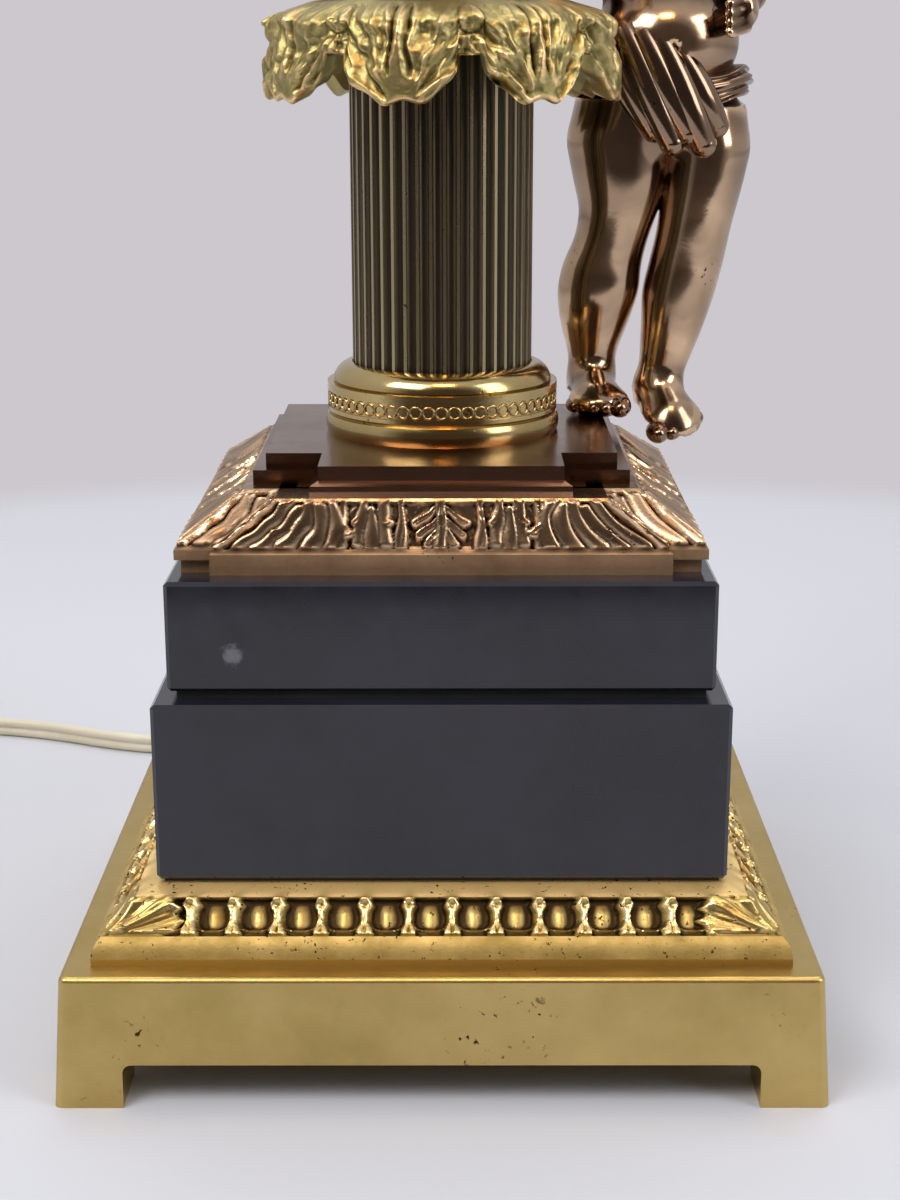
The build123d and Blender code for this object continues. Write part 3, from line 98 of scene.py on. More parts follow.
board = table_white.node_tree
cloth = board.nodes["Principled BSDF"]
cloth.inputs["Base Color"].default_value = (0.55, 0.56, 0.60, 1)
cloth.inputs["Roughness"].default_value = 0.7
spot = shader_node(board, "TexCoord")["Object"]
axes = shader_node(board, "SeparateXYZ", {0: spot})
nearer = arithmetic(board, "MULTIPLY", axes["Y"], -1.4)
stretched = arithmetic(board, "MAXIMUM", axes["Y"], nearer)
reached = shader_node(board, "CombineXYZ", {"X": axes["X"], "Y": stretched})[0]
away = shader_node(board, "VectorMath", {0: reached}, operation="LENGTH")["Value"]
far_out = ramped(board, away, 0.56, 0.63)
seen = shader_node(board, "LightPath")["Is Camera Ray"]
melted = arithmetic(board, "MULTIPLY", far_out, seen)
glow = shader_node(board, "Emission", {"Color": BACKDROP, "Strength": 1.0})[0]
mixed = shader_node(board, "MixShader", {0: melted, 1: cloth.outputs[0], 2: glow})[0]
board.links.new(mixed, board.nodes["Material Output"].inputs["Surface"])
table.data.materials.append(table_white)

world = bpy.data.worlds.new("studio_air")
scene.world = world
world.use_nodes = True
air = world.node_tree
for old in list(air.nodes):
    air.nodes.remove(old)
way = shader_node(air, "SeparateXYZ", {0: shader_node(air, "TexCoord")["Generated"]})
upward = ramped(air, way["Z"], -0.1, 0.9)
walls = blended(air, upward, (0.50, 0.49, 0.51, 1), (0.66, 0.66, 0.69, 1))
behind = ramped(air, way["Y"], -0.45, -0.80)
room = blended(air, behind, walls, (0.075, 0.060, 0.055, 1))
sight = blended(air, shader_node(air, "LightPath")["Is Camera Ray"], room, BACKDROP)
air_light = shader_node(air, "Background", {"Color": sight, "Strength": 1.0})[0]
shader_node(air, "OutputWorld", {"Surface": air_light})


def soft_light(name, place, aim, width, height, watts, colour):
    """A rectangular soft box that points at a spot on the lamp."""
    bpy.ops.object.light_add(type="AREA", location=place)
    lamp = bpy.context.object
    lamp.name = name
    lamp.data.shape = "RECTANGLE"
    lamp.data.size = width
    lamp.data.size_y = height
    lamp.data.energy = watts
    lamp.data.color = colour
    lamp.rotation_euler = (Vector(aim) - Vector(place)).to_track_quat("-Z", "Y").to_euler()
    return lamp


soft_light("key_light", (-0.75, -0.75, 1.25), (0, 0, 0.15), 0.9, 0.6, 15, (1.0, 0.98, 0.96))
soft_light("fill_light", (0.95, -0.55, 0.75), (0, 0, 0.15), 0.5, 0.9, 6, (0.95, 0.97, 1.0))
soft_light("top_light", (0.1, 0.5, 1.5), (0, 0, 0.1), 1.2, 0.8, 9, (1.0, 0.98, 0.97))
warm_lamp = soft_light("warm_lamp", (0.03, -0.62, 1.10), (0, 0, 0.18), 0.26, 0.16, 3.4, (1.0, 0.56, 0.24))
warm_lamp.visible_diffuse = False

# ------------------------------------------------------------------ supply cord
# Cream twin flex: two round cores side by side in one vinyl sheath, 6.2 mm wide. It leaves the back of the
# base, drops to the table, wanders off to the left and is wound on edge in two layers beside the lamp.

CORD_WIDTH = 6.2
CORE_OFFSET = 1.55
CORE_RADIUS = 1.6
COIL_X, COIL_Y = -219.0, 197.0
COIL_RADIUS = 37.6
COIL_TURNS = 7.2
COIL_STEPS = 14
TURN_GAP = 3.3

run_points = [
    (0.0, 88.1, 20.5),
    (0.0, 111.5, 20.5),
    (-1.5, 132.0, 18.0),
    (-9.0, 149.0, 10.5),
    (-24.0, 158.5, 4.0),
    (-44.0, 159.5, 3.1),
    (-67.0, 153.5, 3.1),
    (-88.0, 147.0, 3.1),
    (-112.0, 151.5, 3.1),
    (-138.0, 163.5, 3.1),
    (-164.0, 170.0, 3.1),
    (-190.0, 165.5, 3.1),
]
coil_points = []
for step in range(int(COIL_TURNS * COIL_STEPS)):
    turn = step / COIL_STEPS
    lane = turn if turn < COIL_TURNS / 2 else COIL_TURNS - turn
    radius = COIL_RADIUS - lane * TURN_GAP
    angle = radians(-96 - 360 * turn)
    height = CORD_WIDTH / 2 + CORD_WIDTH * min(max((turn - COIL_TURNS / 2) * 2 + 0.5, 0), 1)
    coil_points.append((COIL_X + radius * cos(angle), COIL_Y + radius * sin(angle), height))
tail_points = [
    (-259.5, 199.5, 8.4),
    (-266.5, 213.5, 6.4),
    (-269.0, 229.0, 6.6),
]
cord_points = [Vector(p) * MM for p in run_points + coil_points + tail_points]


def spline_through(name, points, resolution):
    """An open smooth curve with those control points."""
    line = bpy.data.curves.new(name, "CURVE")
    line.dimensions = "3D"
    line.resolution_u = resolution
    spline = line.splines.new("NURBS")
    spline.points.add(len(points) - 1)
    for control, place in zip(spline.points, points):
        control.co = (*place, 1)
    spline.order_u = 3
    spline.use_endpoint_u = True
    piece = bpy.data.objects.new(name, line)
    scene.collection.objects.link(piece)
    return piece


def meshed(piece):
    """Turn a curve into its mesh."""
    bpy.ops.object.select_all(action="DESELECT")
    piece.select_set(True)
    bpy.context.view_layer.objects.active = piece
    bpy.ops.object.convert(target="MESH")
    return bpy.context.object


cord = spline_through("supply_cord", cord_points, 6)
centre_line = bpy.data.meshes.new_from_object(cord)
bpy.data.meshes.remove(centre_line)

# The section is two round cores that touch, drawn once as a closed outline and swept along the line.
bpy.ops.curve.primitive_bezier_circle_add(radius=1)
flex_outline = bpy.context.object
flex_outline.name = "flex_outline"
outline = flex_outline.data
outline.splines.clear()
ring = outline.splines.new("POLY")
ring_points = []
for core_at, first_angle in ((CORE_OFFSET, -150), (-CORE_OFFSET, 30)):
    for step in range(12):
        angle = radians(first_angle + 300 * step / 11)
        ring_points.append((core_at + CORE_RADIUS * cos(angle), CORE_RADIUS * sin(angle)))
ring.points.add(len(ring_points) - 1)
for control, (x, y) in zip(ring.points, ring_points):
    control.co = (y * MM, x * MM, 0, 1)
ring.use_cyclic_u = True
cord.data.bevel_mode = "OBJECT"
cord.data.bevel_object = flex_outline
cord.data.twist_mode = "Z_UP"
cord.data.use_fill_caps = True
cord = meshed(cord)
bpy.data.objects.remove(flex_outline)
bpy.ops.object.shade_smooth_by_angle(angle=radians(50))


def shade_ramp(tree, factor, low_stop, high_stop):
    """A colour ramp between two (position, colour) stops."""
    ramp = tree.nodes.new("ShaderNodeValToRGB")
    tree.links.new(factor, ramp.inputs[0])
    for element, (position, colour) in zip(ramp.color_ramp.elements, (low_stop, high_stop)):
        element.position = position
        element.color = (*colour, 1)
    return ramp.outputs[0]


def noisy(tree, place, scale, detail, roughness=0.5):
    """Fractal noise at a place."""
    inputs = {"Vector": place, "Scale": scale, "Detail": detail, "Roughness": roughness}
    return shader_node(tree, "TexNoise", inputs)[0]


def new_surface(name):
    """A material with its tree, its main shader and the place on the object that is shaded."""
    surface = bpy.data.materials.new(name)
    surface.use_nodes = True
    tree = surface.node_tree
    return surface, tree, tree.nodes["Principled BSDF"], shader_node(tree, "TexCoord")["Object"]


def plain_plastic(name, low, high, roughness, grain):
    """Moulded plastic: a slow drift between two shades and a fine grain in its skin."""
    surface, tree, skin, place = new_surface(name)
    skin.inputs["Roughness"].default_value = roughness
    tone = shade_ramp(tree, noisy(tree, place, 60, 4), (0.3, low), (0.7, high))
    tree.links.new(tone, skin.inputs["Base Color"])
    fine = noisy(tree, place, grain, 2)
    bump = shader_node(tree, "Bump", {"Strength": 0.15, "Distance": 0.0001, "Height": fine})[0]
    tree.links.new(bump, skin.inputs["Normal"])
    return surface


def dress(finish, *names):
    """Give CAD nodes a finish."""
    for name in names:
        nodes[name].data.materials.clear()
        nodes[name].data.materials.append(finish)


cream_vinyl = plain_plastic("cream_vinyl", (0.60, 0.54, 0.40), (0.72, 0.66, 0.52), 0.42, 900)
cord.data.materials.append(cream_vinyl)
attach(cord, "lamp_body")
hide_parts("cord_run", "cord_coil", "cord_tail")
dress(cream_vinyl, "inner_cord", "strain_relief", "plug_body")

# ------------------------------------------------------------------ brass plinth
# The foot of the lamp: one sand-cast brass box on four bracket feet, filed flat and lacquered. Its walls
# are satin with small casting pits, and the ledge that the moulding stands on has gone brown.


def aged_metal(
    name, dull, clean, recess, rub_and_highlight, polish, spread, pits,
    patch=28.0, relief=0.00012, strewn_from=0.60, groove=None,
):
    """Cast or spun metal: two shades in cloudy patches, a dark colour in recesses that is partly patina and
    partly painted shade, a light colour on edges that is partly rubbed metal and partly a painted highlight,
    pits and a fine grain.
    The recess comes from the mesh, or for a turned piece from the radii of a groove's floor and crest."""
    metal, tree, skin, place = new_surface(name)
    skin.inputs["Metallic"].default_value = 1.0
    clouds = noisy(tree, place, patch, 7, 0.62)
    grain = noisy(tree, place, 1500.0, 3)
    holes = noisy(tree, place, pits * 1.7, 3, 0.6)
    strewn = noisy(tree, place, pits * 0.13, 2)
    tone = shade_ramp(tree, clouds, (0.32, dull), (0.68, clean))
    if groove:
        flat = shader_node(tree, "VectorMath", {0: place, 1: (1, 1, 0)}, operation="MULTIPLY")[0]
        radius = shader_node(tree, "VectorMath", {0: flat}, operation="LENGTH")["Value"]
        deep = ramped(tree, radius, groove[0], groove[1], 0.8, -0.3)
    else:
        deep = shader_node(tree, "Attribute", attribute_name="recess")["Fac"]
    in_recess = ramped(tree, deep, 0.05, 0.75)
    on_edge = ramped(tree, deep, -0.06, -0.6)
    # Painted shade and highlight: the recess colour darkens hollows, partly as patina and partly as painted
    # shade, and the rub colour lightens edges, partly as rubbed metal and partly as a painted highlight.
    patina_and_shade = blended(tree, in_recess, tone, (*recess, 1))
    rubbed_and_highlit = blended(tree, on_edge, patina_and_shade, (*rub_and_highlight, 1))
    near_hole = ramped(tree, holes, 0.63, 0.68)
    strewn_here = ramped(tree, strewn, strewn_from, strewn_from + 0.06)
    pitted = arithmetic(tree, "MULTIPLY", near_hole, strewn_here)
    tree.links.new(blended(tree, pitted, rubbed_and_highlit, (*recess, 1)), skin.inputs["Base Color"])
    haze = ramped(tree, clouds, 0.3, 0.7, polish + spread, polish)
    satin = shader_node(tree, "Attribute", attribute_name="satin")["Fac"]
    hazy = arithmetic(tree, "MULTIPLY_ADD", satin, 0.38, haze)
    tree.links.new(arithmetic(tree, "MULTIPLY_ADD", in_recess, 0.25, hazy), skin.inputs["Roughness"])
    hollow = arithmetic(tree, "MULTIPLY_ADD", pitted, -2.0, grain)
    bump = shader_node(tree, "Bump", {"Strength": 0.35, "Distance": relief, "Height": hollow})[0]
    tree.links.new(bump, skin.inputs["Normal"])
    return metal


plinth_brass = aged_metal(
    "plinth_brass", (0.45, 0.325, 0.105), (0.60, 0.44, 0.17), (0.06, 0.035, 0.012), (0.80, 0.62, 0.26),
    0.30, 0.12, 260.0,
)
dress(plinth_brass, "brass_plinth")

# ------------------------------------------------------------------ leaf moulding
# A square frame of cast and gilded brass, mitred at its corners: a pitted band, a row of egg-shaped coves
# with darts between them, a big leaf over each corner, and a sloping strip under the marble.

SIDE_COLUMNS = 400
EGG_PITCH = 10.1
EGG_SHIFT = -2.6
CARVED_ROWS = 34
ROW_FOOT, ROW_TOP = 0.0379, 0.0445


def frame_places(outline, lift, relief, columns):
    """The places and the relief of a mitred four-sided frame. outline: half width, half depth and level of
    each row, going up the outside and down the inside; lift: how a row moves for 1 mm of relief; relief: a
    function of the way along a row and of the row's half length."""
    along = 2 * np.arange(columns) / columns - 1
    half_width, half_depth, level = np.array(outline).T
    sides, heights = [], []
    for side in range(4):
        half_along, half_out = (half_width, half_depth) if side % 2 == 0 else (half_depth, half_width)
        raised = relief(along[:, None] * half_along[None, :], half_along[None, :] + 0 * along[:, None])
        heights.append(raised)
        out = half_out[None, :] + raised * lift[None, :, 0]
        sideways = along[:, None] * (half_along[None, :] + raised * lift[None, :, 0])
        up = level[None, :] + raised * lift[None, :, 1]
        turn = side * pi / 2
        x = sideways * cos(turn) + out * sin(turn)
        y = sideways * sin(turn) - out * cos(turn)
        sides.append(np.stack([x, y, up], axis=-1))
    return np.concatenate(sides), np.concatenate(heights)


def mark(piece, name, values):
    """Give each point of a mesh a value that its material reads."""
    points = piece.data.attributes.new(name, "FLOAT", "POINT").data
    points.foreach_set("value", values.astype(np.float32).ravel())


def ring_casting(name, places, recess, sharp=40):
    """A closed ring: a grid, wrapped to places[column, row] in millimetres and joined at its seams."""
    columns, rows = places.shape[:2]
    bpy.ops.mesh.primitive_grid_add(x_subdivisions=columns, y_subdivisions=rows, size=0.1)
    casting = bpy.context.object
    casting.name = name
    wrapped = np.pad(places, ((0, 1), (0, 1), (0, 0)), mode="wrap").transpose(1, 0, 2)
    casting.data.vertices.foreach_set("co", (wrapped * MM).astype(np.float32).ravel())
    mark(casting, "recess", np.pad(recess, ((0, 1), (0, 1)), mode="wrap").T)
    casting.data.update()
    bpy.ops.object.mode_set(mode="EDIT")
    bpy.ops.mesh.select_all(action="SELECT")
    bpy.ops.mesh.remove_doubles(threshold=0.000001)
    bpy.ops.mesh.normals_make_consistent(inside=False)
    bpy.ops.object.mode_set(mode="OBJECT")
    bpy.ops.object.shade_smooth_by_angle(angle=radians(sharp))
    return casting


def hollowness(heights, reach):
    """How far each point of a relief lies under its surroundings, in millimetres."""
    smooth = heights
    for _ in range(reach):
        smooth = (np.roll(smooth, 1, 0) + 2 * smooth + np.roll(smooth, -1, 0)) / 4
        smooth = (np.roll(smooth, 1, 1) + 2 * smooth + np.roll(smooth, -1, 1)) / 4
    return smooth - heights


def ease(value, low, high):
    """0 below low, 1 above high, smooth between."""
    part = np.clip((value - low) / (high - low), 0, 1)
    return part * part * (3 - 2 * part)


# Half widths and levels from the band's foot, over the carved row and the strip, and down the inside.
carved_part = np.linspace(0, 1, CARVED_ROWS)
band_outline = [
    (80.5, 33.1), (80.42, 34.0), (80.2, 35.0), (79.8, 36.0), (79.2, 36.9), (78.4, 37.6), (78.2, 37.8),
]
row_outline = [(77.4 - 6.0 * p - 0.55 * sin(pi * p), 37.8 + 6.8 * p - 0.5 * sin(pi * p)) for p in carved_part]
strip_outline = [(71.4 - 6.4 * p, 44.65 + 1.35 * p) for p in np.linspace(0.08, 1, 8)]
inside_outline = [(60.0, 46.0), (56.0, 46.0), (56.0, 33.1), (68.0, 33.1)]
moulding_outline = [(h, h, z) for h, z in [*band_outline, *row_outline, *strip_outline, *inside_outline]]
carved_rows = slice(len(band_outline), len(band_outline) + CARVED_ROWS)
moulding_lift = np.zeros((len(moulding_outline), 2))
moulding_lift[carved_rows] = (0.75, 0.66)


def egg_and_dart(across, half):
    """The carved row: darts a pitch apart, coves with a soft ridge between them, a leaf at each corner."""
    height = np.zeros_like(across)
    p = np.broadcast_to(carved_part[None, :], (across.shape[0], CARVED_ROWS))
    x = across[:, carved_rows]
    edge = half[:, carved_rows] - np.abs(x)
    beat = (x - EGG_SHIFT) / EGG_PITCH
    beat = beat - np.round(beat) + 0.012 * np.sin(x * 0.9)
    gap = np.abs(np.abs(beat) - 0.5) * EGG_PITCH
    neck = 0.75 + 1.15 * ease(-p, -0.42, -0.08) + 0.85 * np.exp(-(((p - 0.80) / 0.13) ** 2))
    dart = np.sqrt(np.clip(1 - (gap / neck) ** 2, 0, 1)) * 0.95
    eye = np.exp(-((gap / 0.62) ** 2) - ((p - 0.80) / 0.085) ** 2)
    split = np.exp(-((gap / 0.35) ** 2)) * ease(-p, -0.58, -0.2)
    dart = (dart - 0.95 * eye - 0.75 * split) * ease(p, 0.0, 0.04) * ease(-p, -1.0, -0.96)
    in_bay = np.clip((gap - neck) / (EGG_PITCH / 2 - neck), 0, 1)
    ridge = 0.85 * ease(in_bay, 0.35, 1.0) * ease(-p, -0.90, -0.55)
    cove = (-1.8 + ridge) * ease(in_bay, 0, 0.25) * ease(-p, -1.0, -0.93)
    lip_line = 0.20 - 0.12 * np.sqrt(np.clip(in_bay * (2 - in_bay), 0, 1))
    cove = cove * ease(p, lip_line, lip_line + 0.15) - 0.7 * ease(-p, -lip_line, 0.03 - lip_line)
    lip = 0.5 * np.exp(-(((p - lip_line) / 0.04) ** 2)) * ease(in_bay, 0, 0.1)
    row = np.where(gap < neck, dart, cove + lip)
    reach = 15.5 - 8.0 * np.abs(p - 0.25) + 0.8 * np.sin(p * 19)
    fan = np.arctan2(edge, 2.0 + 11.0 * p)
    leaf = 0.95 * np.clip(1 - (edge / reach) ** 2, 0, 1) ** 0.6 * ease(p, 0.0, 0.12) * ease(-p, -1.0, -0.86)
    ribs = 0.45 * np.cos(fan * 8.5 + 0.6) + 0.10 * np.cos(fan * 34)
    leaf = leaf + ribs * ease(edge, 0.4, 2.0) * ease(p, 0.02, 0.15)
    leaf = leaf - 0.45 * np.exp(-((edge / 0.7) ** 2))
    over = ease(reach - edge, -0.3, 0.6)
    height[:, carved_rows] = row * (1 - over) + leaf * over
    return height


def levels(piece):
    """How high each point of a mesh is, in metres."""
    return np.array([v.co.z for v in piece.data.vertices])


moulding_places, moulding_relief = frame_places(moulding_outline, moulding_lift, egg_and_dart, SIDE_COLUMNS)
past_row = np.arange(len(moulding_outline)) >= carved_rows.stop
# Painted shade and highlight: hollows and deep coves take the dark recess colour, partly patina and partly
# painted shade, and the rows past the carved row, the sloping strip among them, are pushed towards the rubbed
# colour as a painted highlight.
leaf_moulding = ring_casting(
    "leaf_moulding_casting",
    moulding_places,
    hollowness(moulding_relief, 10) + np.clip(-moulding_relief, 0, 2) * 0.36 - 0.35 * past_row,
)
in_row = (levels(leaf_moulding) > ROW_FOOT) & (levels(leaf_moulding) < ROW_TOP)
mark(leaf_moulding, "satin", np.where(in_row, 0.15, 1.0))
moulding_brass = aged_metal(
    "moulding_brass", (0.40, 0.29, 0.09), (0.60, 0.45, 0.17), (0.045, 0.028, 0.012), (0.98, 0.76, 0.38),
    0.20, 0.12, 420.0, patch=110.0, relief=0.0002, strewn_from=0.38,
)
leaf_moulding.data.materials.append(moulding_brass)
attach(leaf_moulding, "lamp_body")
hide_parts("leaf_moulding")

# ------------------------------------------------------------------ marble blocks
# Two sawn and polished blocks of black marble with small bevels, each on a thin dark sheet that is set
# back. The stone is nearly black with faint clouds, and the front of the upper block has a pale bruise.


def polished_stone(name, dark, light, chip):
    """Black polished stone: faint clouds, an uneven polish and one small pale bruise."""
    stone, tree, skin, place = new_surface(name)
    tone = shade_ramp(tree, noisy(tree, place, 22.0, 8, 0.68), (0.35, dark), (0.75, light))
    away = shader_node(tree, "VectorMath", {0: place, 1: chip}, operation="DISTANCE")["Value"]
    reach = arithmetic(tree, "MULTIPLY_ADD", noisy(tree, place, 520.0, 5), -0.0045, away)
    bruised = ramped(tree, reach, -0.0009, 0.0006, 0.8, 0.0)
    tree.links.new(blended(tree, bruised, tone, (0.17, 0.17, 0.19, 1)), skin.inputs["Base Color"])
    fine = noisy(tree, place, 160.0, 5)
    rough = ramped(tree, fine, 0.3, 0.7, 0.06, 0.13)
    tree.links.new(arithmetic(tree, "MULTIPLY_ADD", bruised, 0.5, rough), skin.inputs["Roughness"])
    bump = shader_node(tree, "Bump", {"Strength": 0.04, "Distance": 0.0001, "Height": fine})[0]
    tree.links.new(bump, skin.inputs["Normal"])
    return stone


BRUISE_PLACE = (-0.0478, -0.063, 0.1008)
black_marble = polished_stone("black_marble", (0.010, 0.0105, 0.0155), (0.020, 0.020, 0.030), BRUISE_PLACE)
dress(black_marble, "lower_marble_block", "upper_marble_block")
dark_sheet = plain_plastic("dark_sheet", (0.012, 0.012, 0.014), (0.03, 0.03, 0.032), 0.7, 600)
dress(dark_sheet, "moulding_gasket", "marble_spacer")

# ------------------------------------------------------------------ acanthus mount
# A hollow bronze casting, chased and patinated: borders of acanthus leaves slope up on four sides, and a
# breakfront stands out at the front and the back. Each border ends below in a plain filed fillet.

MOUNT_COLUMNS = 262
LEAF_GROUND = 1.2
FILLET_TOP = 0.1238


def stroke(x, up, start, end, thick, crown):
    """One rounded finger of a leaf, from its root to its tip; a slim one has a shallow vein along it."""
    run = np.array(end) - np.array(start)
    part = np.clip(((x - start[0]) * run[0] + (up - start[1]) * run[1]) / (run @ run), 0, 1)
    aside = np.hypot(x - start[0] - part * run[0], up - start[1] - part * run[1])
    aside = aside / (thick * (0.6 + 0.5 * part))
    vein = 0.35 * np.exp(-((aside / 0.27) ** 2)) if thick < 2 else 0
    return (crown + 0.5 * part**2) * np.sqrt(np.clip(1 - aside**2, 0, 1)) - vein


# Each finger: where its root is along the border and as a share of its rise, where its tip is, and its width.
LEAF_FINGERS = (
    (9.2, 1.00, 9.2, 0.9, 1.6), (13.4, 1.00, 12.6, 1.8, 2.1), (16.0, 0.85, 15.8, 0.6, 2.2),
    (18.0, 1.00, 19.0, 2.0, 2.1), (14.4, 0.80, 12.0, 7.4, 1.4), (17.4, 0.80, 19.4, 7.4, 1.4),
    (22.4, 1.00, 23.2, 0.9, 1.6),
)
END_FINGERS = (
    (13.5, 1.00, 26.5, 1.2, 2.5), (10.5, 0.90, 21.5, 0.4, 2.9), (8.5, 1.00, 15.6, 0.9, 2.7),
    (5.5, 0.85, 10.2, 0.2, 2.7), (3.4, 1.00, 5.4, 0.9, 2.3), (14.0, 0.55, 29.5, 4.2, 1.6),
    (6.5, 0.60, 13.0, 4.5, 1.5),
)


def carve_border(x, p, half, run):
    """Acanthus leaves side by side on a sloping border, with a sweeping leaf at each end."""
    up = p * run
    outer, inner = half[0, 0], half[0, -1]
    x = np.abs(x) + 0.3 * np.sin(up * 0.45 + x * 0.9)
    edge = half - x
    ground = -1.25 + 0.22 * np.sin(x * 2.3 + up) * np.sin(up * 1.1 + 0.7 * x)
    swept = x + 1.6 * np.sin(up * 0.24)
    fingers = [stroke(x, up, (0, run), (0, 0.9), 1.8, 1.5)]
    for end_x, end_up in ((2.8, 1.4), (4.9, 4.0), (5.6, 7.4)):
        fingers.append(stroke(x, up, (0.8, end_up + 4.6), (end_x, end_up), 1.45, 1.3))
    for root, start, tip, end, thick in LEAF_FINGERS:
        fingers.append(stroke(x, up, (root, run * start), (tip, end), thick, 1.35))
    for root, start, tip, end, thick in END_FINGERS:
        fingers.append(stroke(swept, up, (inner - root, run * start), (outer - tip, end), thick, 1.7))
    fingers.append(stroke(edge, up, (0.4, run), (0.4, 0.0), 1.6, 1.8))
    height = np.maximum(ground, np.max(fingers, axis=0) - LEAF_GROUND)
    return height * ease(p, 0.0, 0.03) * ease(-p, -1.0, -0.95)


def sloping_border(name, low_rows, foot, top, inside_rows):
    """One mitred frame whose middle rows carry the carved border, from its foot to its top."""
    slope = [tuple(np.array(foot) + (np.array(top) - np.array(foot)) * p) for p in carved_part]
    outline = [*low_rows, *slope, *inside_rows]
    zone = slice(len(low_rows), len(low_rows) + CARVED_ROWS)
    inwards = (foot[0] - top[0] + foot[1] - top[1]) / 2
    rise = top[2] - foot[2]
    run = float(np.hypot(inwards, rise))
    lift = np.zeros((len(outline), 2))
    lift[zone] = (rise / run, inwards / run)

    def carved(x, half):
        height = np.zeros_like(x)
        height[:, zone] = carve_border(x[:, zone], carved_part[None, :] + 0 * x[:, zone], half[:, zone], run)
        return height

    places, heights = frame_places(outline, lift, carved, MOUNT_COLUMNS)
    # Painted shade and highlight: the hollows of the carving take the dark recess colour, partly patina and
    # partly painted shade, and its crests the rubbed colour, partly wear and partly a painted highlight.
    return ring_casting(name, places, hollowness(heights, 6) * 1.6)


def join_pieces(first, *others):
    """Make one object of several, in the first one."""
    bpy.ops.object.select_all(action="DESELECT")
    for piece in (first, *others):
        piece.select_set(True)
    bpy.context.view_layer.objects.active = first
    bpy.ops.object.join()


mount_body = sloping_border(
    "mount_body",
    [(60.0, 53.7, 117.8), (60.0, 53.7, 121.0), (61.4, 55.1, 121.05), (61.4, 55.1, 123.4),
     (60.9, 54.6, 123.5)],
    (60.6, 54.3, 124.2),
    (47.0, 42.5, 134.2),
    [(46.2, 41.7, 134.9), (30.0, 25.0, 134.9), (10.0, 10.0, 134.9), (10.0, 10.0, 129.9), (42.0, 37.5, 129.9),
     (42.0, 37.5, 117.8)],
)
mount_break = sloping_border(
    "mount_break",
    [(53.1, 56.5, 117.8), (53.1, 56.5, 122.6), (52.7, 56.1, 123.0), (52.3, 55.7, 123.05)],
    (52.0, 55.6, 123.6),
    (38.6, 53.0, 134.4),
    [(38.0, 52.6, 134.9), (34.0, 40.0, 134.9), (34.0, 40.0, 117.8)],
)
join_pieces(mount_body, mount_break)
mount_body.name = "acanthus_mount_casting"
mark(mount_body, "satin", levels(mount_body) < FILLET_TOP)
mount_bronze = aged_metal(
    "mount_bronze", (0.26, 0.17, 0.10), (0.43, 0.295, 0.18), (0.020, 0.011, 0.007), (0.92, 0.62, 0.38),
    0.20, 0.16, 520.0, patch=70.0,
)
mount_body.data.materials.append(mount_bronze)
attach(mount_body, "lamp_body")
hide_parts("acanthus_mount")

# ------------------------------------------------------------------ stepped slab
# The flat top of the pedestal, cast in one piece, draw-filed and darkened to a plain brown.

slab_bronze = aged_metal(
    "slab_bronze", (0.16, 0.075, 0.045), (0.23, 0.125, 0.075), (0.02, 0.012, 0.008), (0.55, 0.38, 0.24),
    0.16, 0.10, 300.0, patch=40.0, relief=0.00005,
)
dress(slab_bronze, "stepped_slab")

# ------------------------------------------------------------------ column foot ring
# A spun brass ring with a polished dome. A chain of small rings is rolled into the band round its middle.

CHAIN_LINKS = 57
CHAIN_RADIUS = 28.45 * MM
CHAIN_LEVEL = 150.15 * MM
bpy.ops.mesh.primitive_torus_add(
    major_segments=14, minor_segments=6, major_radius=1.42 * MM, minor_radius=0.33 * MM,
    location=(0, -CHAIN_RADIUS, CHAIN_LEVEL), rotation=(pi / 2, 0, 0),
)
link = bpy.context.object
bpy.ops.object.transform_apply(location=True, rotation=True, scale=True)
bpy.ops.object.shade_smooth()
links = []
for turn in range(1, CHAIN_LINKS):
    copy = link.copy()
    copy.data = link.data.copy()
    copy.data.transform(Matrix.Rotation(2 * pi * turn / CHAIN_LINKS, 4, "Z"))
    scene.collection.objects.link(copy)
    links.append(copy)
join_pieces(link, *links)
link.name = "foot_ring_chain"
ring_brass = aged_metal(
    "ring_brass", (0.42, 0.31, 0.13), (0.58, 0.44, 0.20), (0.05, 0.035, 0.015), (0.85, 0.66, 0.32),
    0.13, 0.08, 500.0, patch=30.0, relief=0.00004,
)
link.data.materials.append(ring_brass)
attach(link, "lamp_body")
dress(ring_brass, "column_foot_ring")

# ------------------------------------------------------------------ fluted column
# A drawn brass tube with 43 flutes, toned olive brown. The flutes are darker, partly patina and partly
# painted shade, and the fillets brighter, partly wear and partly a painted highlight.

column_brass = aged_metal(
    "column_brass", (0.23, 0.19, 0.12), (0.34, 0.285, 0.18), (0.045, 0.034, 0.022), (0.58, 0.48, 0.29),
    0.24, 0.10, 300.0, patch=24.0, relief=0.00005, groove=(0.02145, 0.0223),
)
dress(column_brass, "fluted_column", "column_centring_discs")

# ------------------------------------------------------------------ leaf capital
# A gilded casting of eight acanthus leaves that hang round the top of the column, chased by hand. Each has
# a grooved midrib and a curled tip, and a small bud stands between its neighbours at the rim.

CAPITAL_COLUMNS = 800
CAPITAL_TOP = 245.0
LEAF_ANGLE = 45
LEAF_TURN = -12.6
LEAF_WIDTH = 15.7
INNER_ROWS = 13
capital_part = np.linspace(0, 1, 66)
around = 2 * pi * np.arange(CAPITAL_COLUMNS) / CAPITAL_COLUMNS


def rough_field(scale, seed):
    """Smooth noise over the capital's skin, one value for each of its places."""
    turned = np.stack([np.cos(around), np.sin(around)], axis=1) * 38 * scale
    return np.array(
        [[noise.noise(Vector((x + seed, y, 22 * p * scale))) for p in capital_part] for x, y in turned]
    )


